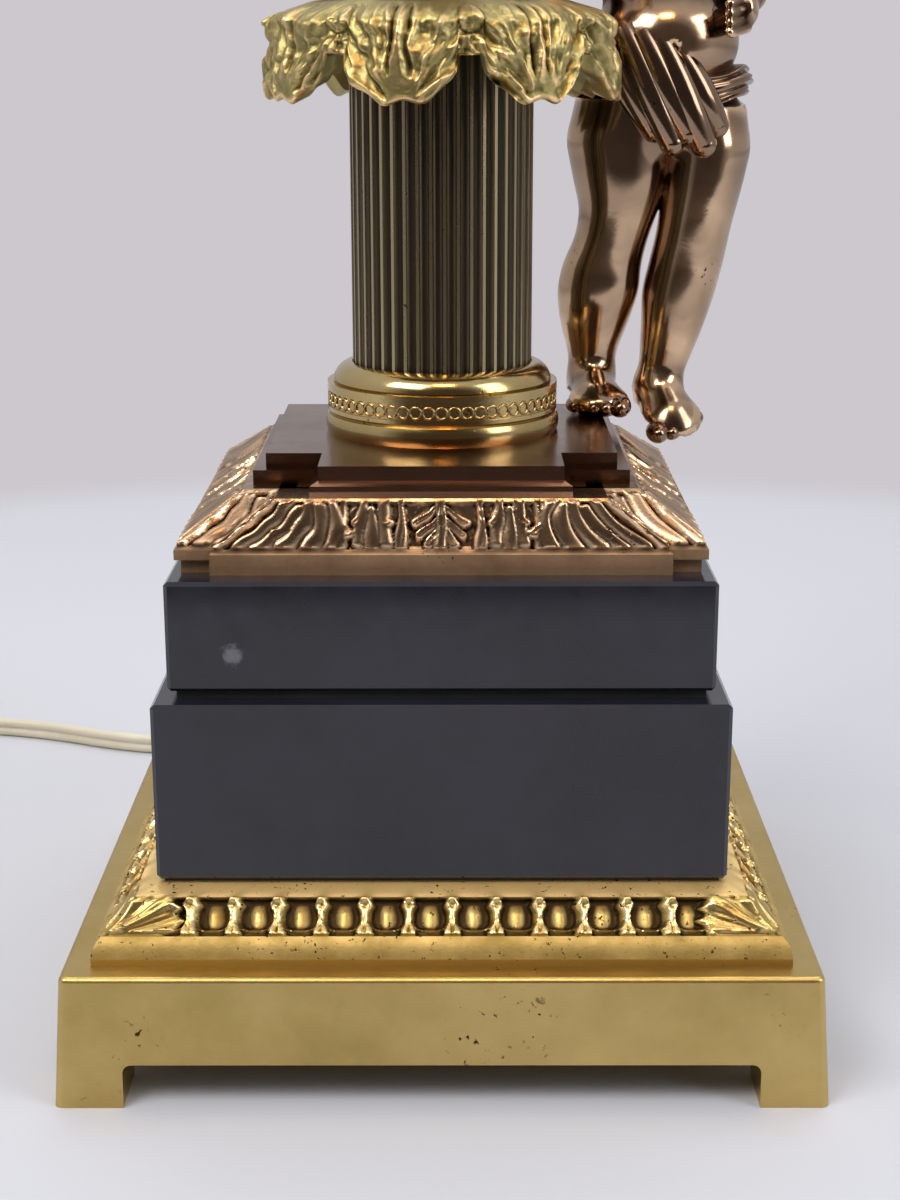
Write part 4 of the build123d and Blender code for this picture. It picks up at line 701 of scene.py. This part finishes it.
# How far each column of places hangs down, then the bell and its carving, then the inside and the web.
leaf_angle = np.degrees(around) - LEAF_TURN + 90
aside = ((leaf_angle + LEAF_ANGLE / 2) % LEAF_ANGLE - LEAF_ANGLE / 2) / (LEAF_ANGLE / 2)
leaf_index = (leaf_angle + LEAF_ANGLE / 2) // LEAF_ANGLE
tip_drop = 12.3 + 10.4 * np.sqrt(np.clip(1 - np.abs(aside / 0.82) ** 2.4, 0, 1))
scallops = 0.7 * np.cos(aside * pi * 3.7 + pi + 0.9 * np.sin(leaf_index * 2.1))
tip_drop = tip_drop + scallops * (np.abs(aside) < 0.82)
drop = capital_part[None, :] * tip_drop[:, None]
broad, middling, fine = rough_field(0.16, 3.0), rough_field(0.42, 11.0), rough_field(1.1, 23.0)
bell = 31.0 + 8.4 * (1 - (1 - np.clip(drop / 5.5, 0, 1)) ** 2.2) + 1.6 * ease(drop, 5.0, 18.0)
side_mm = aside[:, None] * LEAF_WIDTH + 1.6 * broad * ease(drop, 3, 12)
reach_mm = 14.6 - 4.5 * ease(drop, 8, 21)
swell = 1.9 * np.sqrt(np.clip(1 - (np.abs(side_mm) / reach_mm) ** 2.4, 0, 1)) * ease(drop, 0.5, 5.0)
midrib = 0.85 * np.exp(-((side_mm / 0.8) ** 2)) - 1.25 * np.exp(-(((np.abs(side_mm) - 1.9) / 0.55) ** 2))
midrib = midrib * ease(drop, 0.6, 2.5) * ease(-drop, -19.0, -15.0)
fan = np.arctan2(side_mm, 26.0 - drop)
fingers = 0.75 * np.cos(fan * 15 + 2.2 * broad) * ease(np.abs(side_mm), 2.4, 5.0) * ease(drop, 2.0, 6.0)
striae = 0.16 * np.cos(fan * 46 + 3.0 * middling) * ease(np.abs(side_mm), 2.0, 4.0)
hammered = 1.9 * broad + 0.75 * middling * ease(drop, 1.0, 8.0) + 0.14 * fine
tip = np.clip(1 - (aside / 0.42) ** 2, 0, 1)[:, None]
tip = tip * np.exp(-(((capital_part[None, :] - 0.80) / 0.10) ** 2))
curl = 1.6 * ease(capital_part, 0.86, 1.0)[None, :] * np.clip(1 - (aside / 0.75) ** 2, 0, 1)[:, None]
from_bud = ((drop - 4.4) / 3.1) ** 2 + ((np.abs(side_mm) - LEAF_WIDTH) / 2.9) ** 2
bud = 2.2 * np.sqrt(np.clip(1 - from_bud, 0, 1))
fade = ease(drop, 0.2, 2.0) * ease(-capital_part[None, :], -1.0, -0.96)
relief = (swell + midrib + fingers + striae + hammered) * fade + curl + bud + 1.3 * tip
outside = np.minimum(bell + relief, 43.4)
inner_part = np.linspace(1, 0, INNER_ROWS + 1)[1:]
inner_drop = 3.0 + (tip_drop[:, None] - 3.0) * inner_part[None, :]
inner_wall = 27.6 + 8.6 * (1 - (1 - np.clip((inner_drop - 3.0) / 6.5, 0, 1)) ** 2.2)
inner_wall = inner_wall + 1.6 * ease(inner_drop, 6, 19) + curl[:, -1:] * 0.6 * inner_part[None, :] ** 3
flat = np.ones((CAPITAL_COLUMNS, 1))
web_radius = np.array([26.0, 23.0, 5.2, 5.2, 22.5, 26.5])
web_level = np.array([238.0, 238.0, 238.0, 241.0, 241.0, 241.0])
radius = np.concatenate([outside, inner_wall, flat * web_radius[None, :], flat * 29.5], axis=1)
outside_level, inside_level = CAPITAL_TOP - drop, CAPITAL_TOP - inner_drop
height = np.concatenate([outside_level, inside_level, flat * web_level[None, :], flat * 244.6], axis=1)
capital_places = np.stack(
    [radius * np.cos(around)[:, None], radius * np.sin(around)[:, None], height], axis=-1
)
# Painted shade and highlight: the hollows between and within the leaves take the dark recess colour, partly
# patina and partly painted shade, and the crests and curled tips the rubbed colour, partly wear and partly a
# painted highlight.
capital_hollow = np.zeros(radius.shape)
capital_hollow[:, : relief.shape[1]] = hollowness(relief, 8)
capital = ring_casting("leaf_capital_casting", capital_places, capital_hollow * 1.1, sharp=60)
capital_gilt = aged_metal(
    "capital_gilt", (0.26, 0.225, 0.085), (0.46, 0.375, 0.15), (0.035, 0.026, 0.010), (0.92, 0.64, 0.32),
    0.34, 0.16, 700.0, patch=120.0, relief=0.0003,
)
capital.data.materials.append(capital_gilt)
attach(capital, "lamp_body")
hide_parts("leaf_capital")

# ------------------------------------------------------------------ stem, rod and socket
# Turned pieces threaded over the rod: bronze foot and vase, lacquered brass collar, tube and ring, then the
# socket with its fibre liner, moulded insulator, plated screw shell and steel hardware.

dress(mount_bronze, "stem_foot")
vase_bronze = aged_metal(
    "vase_bronze", (0.14, 0.085, 0.045), (0.25, 0.16, 0.085), (0.02, 0.012, 0.008), (0.6, 0.4, 0.24),
    0.14, 0.12, 340.0, patch=30.0, relief=0.00004,
)
dress(vase_bronze, "stem_vase")
stem_brass = aged_metal(
    "stem_brass", (0.45, 0.33, 0.13), (0.62, 0.47, 0.20), (0.05, 0.035, 0.015), (0.85, 0.66, 0.32),
    0.17, 0.10, 420.0, patch=22.0, relief=0.00003,
)
dress(stem_brass, "vase_collar", "stem_tube", "check_ring", "harp", "left_ferrule", "right_ferrule", "finial")
dress(stem_brass, "socket_cap", "socket_shell")
hardware_steel = aged_metal(
    "hardware_steel", (0.42, 0.41, 0.39), (0.58, 0.57, 0.55), (0.12, 0.09, 0.06), (0.8, 0.8, 0.78),
    0.25, 0.15, 520.0, patch=60.0, relief=0.00004,
)
dress(hardware_steel, "threaded_rod", "rod_washer", "rod_lock_washer", "rod_nut", "harp_saddle")
dress(hardware_steel, "terminal_screws", "switch_shaft", "putto_screw", "plug_blades", "screw_shell")
dress(stem_brass, "centre_contact")
grey_fibre = plain_plastic("grey_fibre", (0.10, 0.09, 0.08), (0.17, 0.155, 0.14), 0.8, 700)
dress(grey_fibre, "socket_liner")
black_bakelite = plain_plastic("black_bakelite", (0.010, 0.009, 0.009), (0.022, 0.020, 0.019), 0.28, 500)
dress(black_bakelite, "socket_insulator", "switch_knob")

# ------------------------------------------------------------------ putto
# A bronze child cast in one piece and polished dark: the right leg carries the weight, the left hangs free
# with its toes pointed, the right hand rests on the capital, and a sash is gathered across the hips.

SLAB_TOP = 141.7
TO_SLAB = (0, 0, SLAB_TOP)
FACE_SIZE = 0.9 * MM
LAST_ROUNDS = 3


def joined(shapes, blend):
    """The smooth union of distances: nearby shapes melt into each other over that many millimetres."""
    total = shapes[0]
    for shape in shapes[1:]:
        near = np.clip(0.5 + 0.5 * (shape - total) / blend, 0, 1)
        total = shape + (total - shape) * near - blend * near * (1 - near)
    return total


def bone(p, start, end, start_radius, end_radius):
    """The distance to a tapered limb."""
    a = np.array(start)
    run = np.array(end) - a
    part = np.clip((p - a) @ run / (run @ run), 0, 1)
    away = np.linalg.norm(p - a - part[:, None] * run, axis=1)
    return away - start_radius - (end_radius - start_radius) * part


def ball(p, centre, radii):
    """The distance to an egg shape."""
    offset = (p - np.array(centre)) / np.array(radii)
    reach = np.linalg.norm(offset, axis=1)
    slope = np.linalg.norm(offset / np.array(radii), axis=1) + 1e-9
    return reach * (reach - 1) / slope


# Level sections of the legs: height over the slab, centre and half widths.
STANDING_LEG = (
    (5, 39.5, 31.2, 5.5, 6.4), (10, 39.6, 30.4, 5.9, 6.4), (15, 39.6, 30.0, 6.4, 6.6),
    (22, 40.0, 30.4, 8.9, 8.7), (30.5, 40.9, 30.5, 10.8, 10.7), (38, 41.8, 30.0, 10.3, 10.4),
    (45, 44.2, 28.8, 9.5, 10.0), (52, 45.9, 28.2, 10.2, 10.5), (59.5, 46.2, 28.6, 12.3, 12.4),
    (70, 45.4, 29.5, 13.6, 14.2), (80, 47.0, 30.0, 12.4, 14.0),
)
HANGING_LEG = (
    (2, 56.6, 29.0, 4.9, 5.8), (10.5, 58.0, 27.4, 6.1, 6.2), (21.5, 60.4, 28.0, 8.1, 8.4),
    (30.8, 61.9, 28.5, 9.6, 10.2), (39.5, 63.8, 27.6, 9.6, 10.0), (47.5, 65.2, 26.2, 9.4, 9.9),
    (58, 67.0, 26.8, 10.3, 11.8), (68, 68.3, 28.0, 11.2, 13.6), (78, 66.6, 30.0, 11.2, 13.8),
)


def leg(p, sections):
    """A leg through its level elliptical sections, smoothed."""
    heights = np.arange(-10.0, 100.0, 0.5)
    given, *measures = zip(*sections)
    rows = [np.interp(heights, given, measure) for measure in measures]
    rows = [np.convolve(np.pad(row, 6, mode="edge"), np.ones(13) / 13, mode="valid") for row in rows]
    up = p[:, 2]
    x, y, wide, deep = (np.interp(up, heights, row) for row in rows)
    round_leg = (np.hypot((p[:, 0] - x) / wide, (p[:, 1] - y) / deep) - 1) * np.minimum(wide, deep)
    low, high = sections[0][0], sections[-1][0]
    return np.maximum(round_leg, np.abs(up - (low + high) / 2) - (high - low) / 2)


def foot(p, heel, ankle, bridge, toes):
    """A child's foot without its toes: heel, bridge and pad."""
    pad = ball(p, np.array(toes) + (0, 6.2, 1.2), (8.0, 7.6, 3.7))
    return joined([ball(p, heel, (5.2, 5.8, 5.2)), bone(p, ankle, bridge, 5.6, 4.4), pad], 5.0)


DANGLE = np.array(Matrix.Rotation(radians(27), 3, "X") @ Matrix.Rotation(radians(14), 3, "Z"))
HANGING_ANKLE = np.array((57.4, 27.6, 3.0))
# From the big toe to the small one: how far to the inner side, how far back, and the radius.
TOES = ((5.2, 0.0, 3.1), (1.5, -0.3, 2.5), (-1.5, 0.6, 2.35), (-4.2, 1.9, 2.2), (-6.5, 3.7, 2.1))

HEAD_CENTRE = np.array((51.5, 27.5, 165.0))
SCALP_CENTRE = np.array((0, 3.2, 5.0))
CURLS = 78
CURL_REACH = 0.235


def head_shape(p):
    """A calm child's head with round cheeks, an open gaze and short curls, tilted towards the column."""
    turn = Matrix.Rotation(radians(-14), 3, "Z")
    tilt = Matrix.Rotation(radians(-6), 3, "Y") @ Matrix.Rotation(radians(4), 3, "X")
    q = (p - HEAD_CENTRE) @ np.array(turn @ tilt)
    face = joined(
        [
            ball(q, (0, 2.0, 4.5), (15.6, 16.2, 14.6)),
            ball(q, (0, -1.5, -4.0), (13.2, 12.2, 13.4)),
            *[ball(q, (side * 6.8, -8.2, -7.2), (5.6, 5.2, 5.4)) for side in (-1, 1)],
            ball(q, (0, -9.8, -14.0), (4.0, 3.6, 3.4)),
        ],
        4.5,
    )
    for side in (-1, 1):
        socket = ball(q, (side * 5.7, -15.4, -0.6), (4.0, 2.6, 2.5))
        near = np.clip(0.5 - 0.5 * (face + socket) / 1.8, 0, 1)
        face = face + (-socket - face) * near + 1.8 * near * (1 - near)
    for side in (-1, 1):
        face = joined([face, ball(q, (side * 5.5, -11.2, -0.7), (2.9, 2.3, 2.1))], 0.35)
        lid = bone(q, (side * 3.0, -13.2, -0.3), (side * 5.4, -13.75, 1.35), 0.55, 0.65)
        lid = np.minimum(lid, bone(q, (side * 5.4, -13.75, 1.35), (side * 8.2, -12.2, -0.2), 0.65, 0.5))
        low = bone(q, (side * 3.2, -13.1, -1.2), (side * 5.6, -13.4, -2.35), 0.4, 0.45)
        low = np.minimum(low, bone(q, (side * 5.6, -13.4, -2.35), (side * 8.0, -12.2, -1.1), 0.45, 0.4))
        brow = bone(q, (side * 2.4, -14.3, 3.2), (side * 8.6, -12.6, 4.2), 0.9, 0.7)
        face = joined([face, lid, low], 0.5)
        face = joined([face, brow], 1.8)
    face = joined([face, bone(q, (0, -13.6, 1.6), (0, -16.0, -4.4), 1.2, 1.75)], 1.6)
    face = joined([face, *[ball(q, (side * 1.9, -14.6, -5.0), (1.35, 1.5, 1.15)) for side in (-1, 1)]], 0.8)
    lips = [bone(q, (side * 3.5, -12.6, -9.4), (side * 0.9, -14.3, -8.5), 0.55, 0.85) for side in (-1, 1)]
    lips.append(bone(q, (-2.0, -13.4, -10.9), (2.0, -13.4, -10.9), 1.0, 1.0))
    face = joined([face, *lips], 0.6)
    for side in (-1, 1):
        ear = ball(q, (side * 15.2, 2.2, -2.2), (1.9, 3.4, 4.6))
        face = joined([face, ear], 1.2)
        hollow = ball(q, (side * 16.9, 1.0, -1.6), (1.3, 1.9, 2.8))
        face = np.maximum(face, -hollow)
    scalp = ball(q, SCALP_CENTRE, (16.6, 17.0, 15.2))
    hairline = (q[:, 1] + 7.4) * 0.8 + (q[:, 2] - 7.6) * 0.75 + 2.2 * np.cos(q[:, 0] * 0.34)
    low_back = np.maximum(-7.5 - q[:, 2], 0)
    curls = np.full(len(q), -1.0)
    direction = q - SCALP_CENTRE
    direction = direction / (np.linalg.norm(direction, axis=1)[:, None] + 1e-9)
    golden = pi * (3 - 5**0.5)
    for lock in range(CURLS):
        tall = 1 - 2 * (lock + 0.5) / CURLS
        ring = (1 - tall * tall) ** 0.5
        centre = np.array((ring * cos(golden * lock), ring * sin(golden * lock), tall))
        across = np.cross(centre, (0.31, 0.17, 0.94))
        across = across / np.linalg.norm(across)
        beyond = np.cross(centre, across)
        u, v = direction @ across, direction @ beyond
        far = np.hypot(u, v) / CURL_REACH
        swirl = 0.55 + 0.45 * np.cos(2.0 * np.arctan2(v, u) * (1 if lock % 2 else -1) + 9.0 * far)
        on_curl = (direction @ centre > 0) & (far < 1)
        lump = np.where(on_curl, (1 - far**2) ** 0.6 * (1.5 + 0.95 * swirl), -1.0)
        curls = np.maximum(curls, lump)
    hair = scalp - np.maximum(curls, 0)
    hair = hair + np.maximum(-hairline, 0) * 1.4 + low_back * 0.9
    return joined([face, hair], 0.8)


def body_shape(p):
    """The putto as one distance: body, legs, arms and head. Its heights count from the slab."""
    p = p - TO_SLAB
    trunk = joined(
        [
            ball(p, (56.3, 30.0, 76.0), (19.4, 14.2, 13.0)),
            ball(p, (56.8, 26.6, 94.0), (18.4, 16.0, 14.6)),
            ball(p, (55.2, 30.2, 115.0), (17.6, 12.6, 15.5)),
            bone(p, (42.5, 31.0, 129.0), (67.0, 31.5, 129.0), 7.2, 7.2),
            ball(p, (47.8, 21.8, 118.5), (7.6, 5.2, 6.4)),
            ball(p, (62.8, 22.2, 118.5), (7.6, 5.2, 6.4)),
            ball(p, (48.2, 38.0, 76.0), (10.0, 9.2, 10.5)),
            ball(p, (65.0, 38.0, 76.0), (10.0, 9.2, 10.5)),
            bone(p, (53.6, 31.0, 133.0), (52.2, 29.5, 150.0), 8.2, 7.6),
        ],
        7.0,
    )
    navel = ball(p, (57.0, 10.2, 92.0), (1.3, 1.8, 1.6))
    trunk = np.maximum(trunk, -navel + 0.2)
    flat_foot = foot(p, (39.4, 34.0, 4.6), (39.6, 29.0, 8.4), (40.4, 20.0, 5.0), (40.9, 12.2, 2.1))
    standing = joined([leg(p, STANDING_LEG), flat_foot], 3.0)
    turned = (p - HANGING_ANKLE) @ DANGLE + HANGING_ANKLE
    pointed_foot = foot(turned, (57.0, 31.0, 3.6), (57.2, 26.5, 6.0), (57.6, 18.5, 4.6), (57.8, 11.4, 1.8))
    hanging = joined([leg(p, HANGING_LEG), pointed_foot], 3.0)
    legs = joined([standing, hanging], 0.5)
    right_arm = joined(
        [
            bone(p, (39.5, 31.0, 129.5), (27.4, 25.4, 110.8), 7.2, 5.9),
            bone(p, (27.4, 25.4, 110.8), (19.8, 5.5, 109.2), 5.7, 4.1),
            ball(p, (18.4, -1.0, 107.8), (4.8, 5.8, 2.9)),
        ],
        3.5,
    )
    for finger in range(4):
        root = np.array((15.0 + 2.2 * finger, -4.6, 107.6))
        knuckle = root + (-0.9 + 0.35 * finger, -5.0 - (0.9, 1.5, 1.2, 0.2)[finger], -1.4)
        right_arm = joined([right_arm, bone(p, root, knuckle, 1.55, 1.45)], 0.8)
        right_arm = joined([right_arm, bone(p, knuckle, knuckle + (0, -1.6, -2.6), 1.45, 1.2)], 0.8)
    right_arm = joined([right_arm, bone(p, (21.6, 1.0, 107.4), (24.4, -4.2, 105.8), 1.9, 1.5)], 1.2)
    left_arm = joined(
        [
            bone(p, (69.5, 31.5, 129.5), (80.2, 40.2, 113.0), 7.2, 5.6),
            bone(p, (80.2, 40.2, 113.0), (77.4, 23.5, 105.0), 5.5, 4.0),
            ball(p, (75.4, 17.4, 101.5), (3.2, 5.6, 4.6)),
        ],
        3.5,
    )
    for finger in range(4):
        root = np.array((75.2, 14.8, 104.2 - 2.3 * finger))
        left_arm = joined([left_arm, bone(p, root, root + (-4.6, -4.2 - 0.3 * finger, -1.4), 1.6, 1.25)], 0.8)
    trunk = joined([trunk, legs], 4.0)
    trunk = joined([trunk, right_arm], 3.0)
    trunk = joined([trunk, left_arm], 2.0)
    under_sole = bone(p, (40.4, 24.0, -60.0), (40.4, 24.1, -60.0), 60.0, 60.0)
    trunk = np.maximum(trunk, -under_sole)
    return np.minimum(trunk, joined([trunk, head_shape(p)], 2.0))


# The blank: overlapping eggs (centre over the slab, radii), melted into one even net of small faces.
blanks = []
for centre, radii in (
    ((56, 29, 84), (22, 18, 20)), ((55, 30, 118), (22, 17, 26)), ((51.5, 28, 167), (20, 21, 23)),
    ((53, 30, 146), (10, 10, 14)), ((45.5, 29.5, 66), (11.5, 13, 20)), ((44.5, 29, 47), (7, 8, 14)),
    ((41, 30.5, 31), (7.5, 8.5, 17)), ((39.6, 30.2, 13), (5, 5.5, 13)), ((40.3, 23, 5.5), (6.5, 15, 5)),
    ((67.5, 28.5, 66), (10, 12.5, 19)), ((65, 26.6, 47), (6.5, 8, 13)), ((62, 28.4, 31), (6.5, 8.5, 16)),
    ((58.8, 27.6, 13), (4.6, 5.4, 13)), ((59.5, 21, -0.5), (6, 13, 6)), ((33, 28, 120), (11, 9, 17)),
    ((23, 14, 109.5), (7, 18, 6)), ((75.5, 36, 121), (9, 10, 17)), ((77.5, 29, 108), (6, 15, 9)),
    ((17.5, -3, 107), (6, 11, 4)), ((73, 13, 101), (6, 8, 7)),
):
    place = (centre[0] * MM, centre[1] * MM, (centre[2] + SLAB_TOP) * MM)
    bpy.ops.mesh.primitive_uv_sphere_add(segments=24, ring_count=14, radius=1, location=place)
    bpy.context.object.scale = tuple(r * MM for r in radii)
    blanks.append(bpy.context.object)
join_pieces(*blanks)
putto = bpy.context.object
putto.name = "putto_bronze"
bpy.ops.object.transform_apply(location=True, rotation=True, scale=True)
skin = putto.modifiers.new("skin", "REMESH")
skin.mode = "VOXEL"
skin.voxel_size = FACE_SIZE
bpy.ops.object.modifier_apply(modifier="skin")


def settle(piece, shape, rounds):
    """Move every point along the slope of a distance until it lies on the surface. The net is evened out
    between rounds, but not in the last ones."""
    count = len(piece.data.vertices)
    spots = np.empty(count * 3)
    piece.data.vertices.foreach_get("co", spots)
    spots = spots.reshape(-1, 3) / MM
    edges = np.empty(len(piece.data.edges) * 2, dtype=np.int64)
    piece.data.edges.foreach_get("vertices", edges)
    edges = edges.reshape(-1, 2)
    valence = np.bincount(edges.ravel(), minlength=count)[:, None]

    def surroundings(values):
        total = np.zeros_like(values)
        np.add.at(total, edges[:, 0], values[edges[:, 1]])
        np.add.at(total, edges[:, 1], values[edges[:, 0]])
        return total / valence

    for turn in range(rounds):
        value = shape(spots)
        differences = [shape(spots + step) - shape(spots - step) for step in np.eye(3) * 0.05]
        slope = np.stack(differences, axis=1) / 0.1
        steep = (slope * slope).sum(axis=1) + 0.05
        spots = spots - np.clip(value / steep, -3, 3)[:, None] * slope
        if turn < rounds - LAST_ROUNDS:
            spots = spots + 0.5 * (surroundings(spots) - spots)
    normal = slope / (np.linalg.norm(slope, axis=1)[:, None] + 1e-9)
    smooth = spots
    for _ in range(6):
        smooth = surroundings(smooth)
    depth = ((smooth - spots) * normal).sum(axis=1)
    piece.data.vertices.foreach_set("co", (spots * MM).astype(np.float32).ravel())
    piece.data.update()
    # Painted shade and highlight: hollows of the body get a dark recess value, partly patina and partly
    # painted shade, and bulges a light one, partly wear and partly a painted highlight.
    mark(piece, "recess", depth * 2.2)


settle(putto, body_shape, 10)

# The toes are added one by one, and the sash is wrapped round the hips with its gathered end in front.
details = []
for inner_side, place, turn in ((1, (40.7, 14.2, 2.6), np.eye(3)), (-1, (57.8, 13.8, 2.2), DANGLE)):
    for beside, back, size in TOES:
        spot = np.array(place) + (inner_side * beside, back, 0.28 * (size - 2.4))
        spot = (spot - HANGING_ANKLE) @ turn.T + HANGING_ANKLE + TO_SLAB
        bpy.ops.mesh.primitive_uv_sphere_add(
            segments=24, ring_count=14, radius=size * MM, location=tuple(spot * MM)
        )
        bpy.context.object.scale = (1.0, 1.75, 0.95)
        details.append(bpy.context.object)
SASH_HEIGHT = 80.5
BAND_COLUMNS, FRONT_ROWS, BACK_ROWS = 260, 34, 6
hip_turn = 2 * pi * np.arange(BAND_COLUMNS)[:, None] / BAND_COLUMNS
hip_x, hip_y = 56.4 + 21.2 * np.cos(hip_turn), 29.8 + 16.6 * np.sin(hip_turn)
hip_dip = 0.016 * (hip_x - 60.0) ** 2 * ease(-hip_y, -36.0, -22.0) + 3.0 * ease(hip_y, 22.0, 36.0)
band_width = 5.4 - 1.8 * ease(hip_x, 58.0, 74.0)
band_part = np.concatenate([np.linspace(-1, 1, FRONT_ROWS), np.linspace(1, -1, BACK_ROWS)])[None, :]
outer_face = (np.arange(FRONT_ROWS + BACK_ROWS) < FRONT_ROWS)[None, :]
gathers = 0.75 * np.cos(band_part * 6.3 + 1.3 * np.sin(2 * hip_turn))
gathers = gathers + 0.35 * np.cos(band_part * 15 + 2.0 * np.cos(3 * hip_turn))
band_out = np.where(outer_face, (1.2 + gathers) * np.sqrt(np.clip(1 - band_part**4, 0, 1)), -4.5)
band_up = SASH_HEIGHT + hip_dip + band_part * band_width
band_out = band_out - 0.03 * (band_up - 84.0) ** 2
band_x = hip_x + band_out * np.cos(hip_turn)
band_y = hip_y + band_out * np.sin(hip_turn) - 0.10 * (band_up - 80)
band_places = np.stack([band_x, band_y, band_up + SLAB_TOP], axis=-1)
# Painted shade and highlight: the hollows of the gathers take the dark recess colour, partly patina and
# partly painted shade, and their crests the rubbed colour, partly wear and partly a painted highlight.
details.append(ring_casting("sash_band", band_places, hollowness(band_out * outer_face, 3) * 0.8, sharp=60))
for start, middle, end, size in (
    ((40.5, 17.0, 96.0), (46.0, 14.2, 84.0), (53.0, 15.0, 72.5), 4.6),
    ((44.5, 15.6, 97.0), (50.5, 12.4, 84.0), (57.6, 13.6, 69.5), 4.9),
    ((49.0, 14.6, 96.0), (55.2, 11.8, 83.5), (61.4, 13.0, 72.0), 4.7),
    ((53.5, 14.4, 94.5), (59.8, 11.8, 82.0), (65.6, 13.6, 69.0), 4.9),
    ((58.5, 14.6, 91.0), (64.2, 12.8, 82.0), (69.0, 15.6, 73.5), 4.5),
):
    line = [Vector((x, y, z + SLAB_TOP)) * MM for x, y, z in (start, middle, end)]
    fold = spline_through("sash_fold", line, 16)
    fold.data.bevel_depth = size * MM
    fold.data.bevel_resolution = 6
    fold.data.use_fill_caps = True
    for control, share in zip(fold.data.splines[0].points, (0.7, 1.1, 0.66)):
        control.radius = share
    details.append(meshed(fold))
    bpy.ops.mesh.primitive_uv_sphere_add(
        segments=20, ring_count=12, radius=size * 0.675 * MM, location=line[-1]
    )
    details.append(bpy.context.object)
join_pieces(putto, *details)
bpy.ops.object.shade_smooth_by_angle(angle=radians(60))
putto_bronze = aged_metal(
    "putto_bronze", (0.21, 0.13, 0.085), (0.32, 0.225, 0.155), (0.020, 0.009, 0.004), (0.66, 0.46, 0.29),
    0.10, 0.09, 420.0, patch=26.0, relief=0.00003,
)
putto.data.materials.append(putto_bronze)
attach(putto, "lamp_body")
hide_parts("putto")
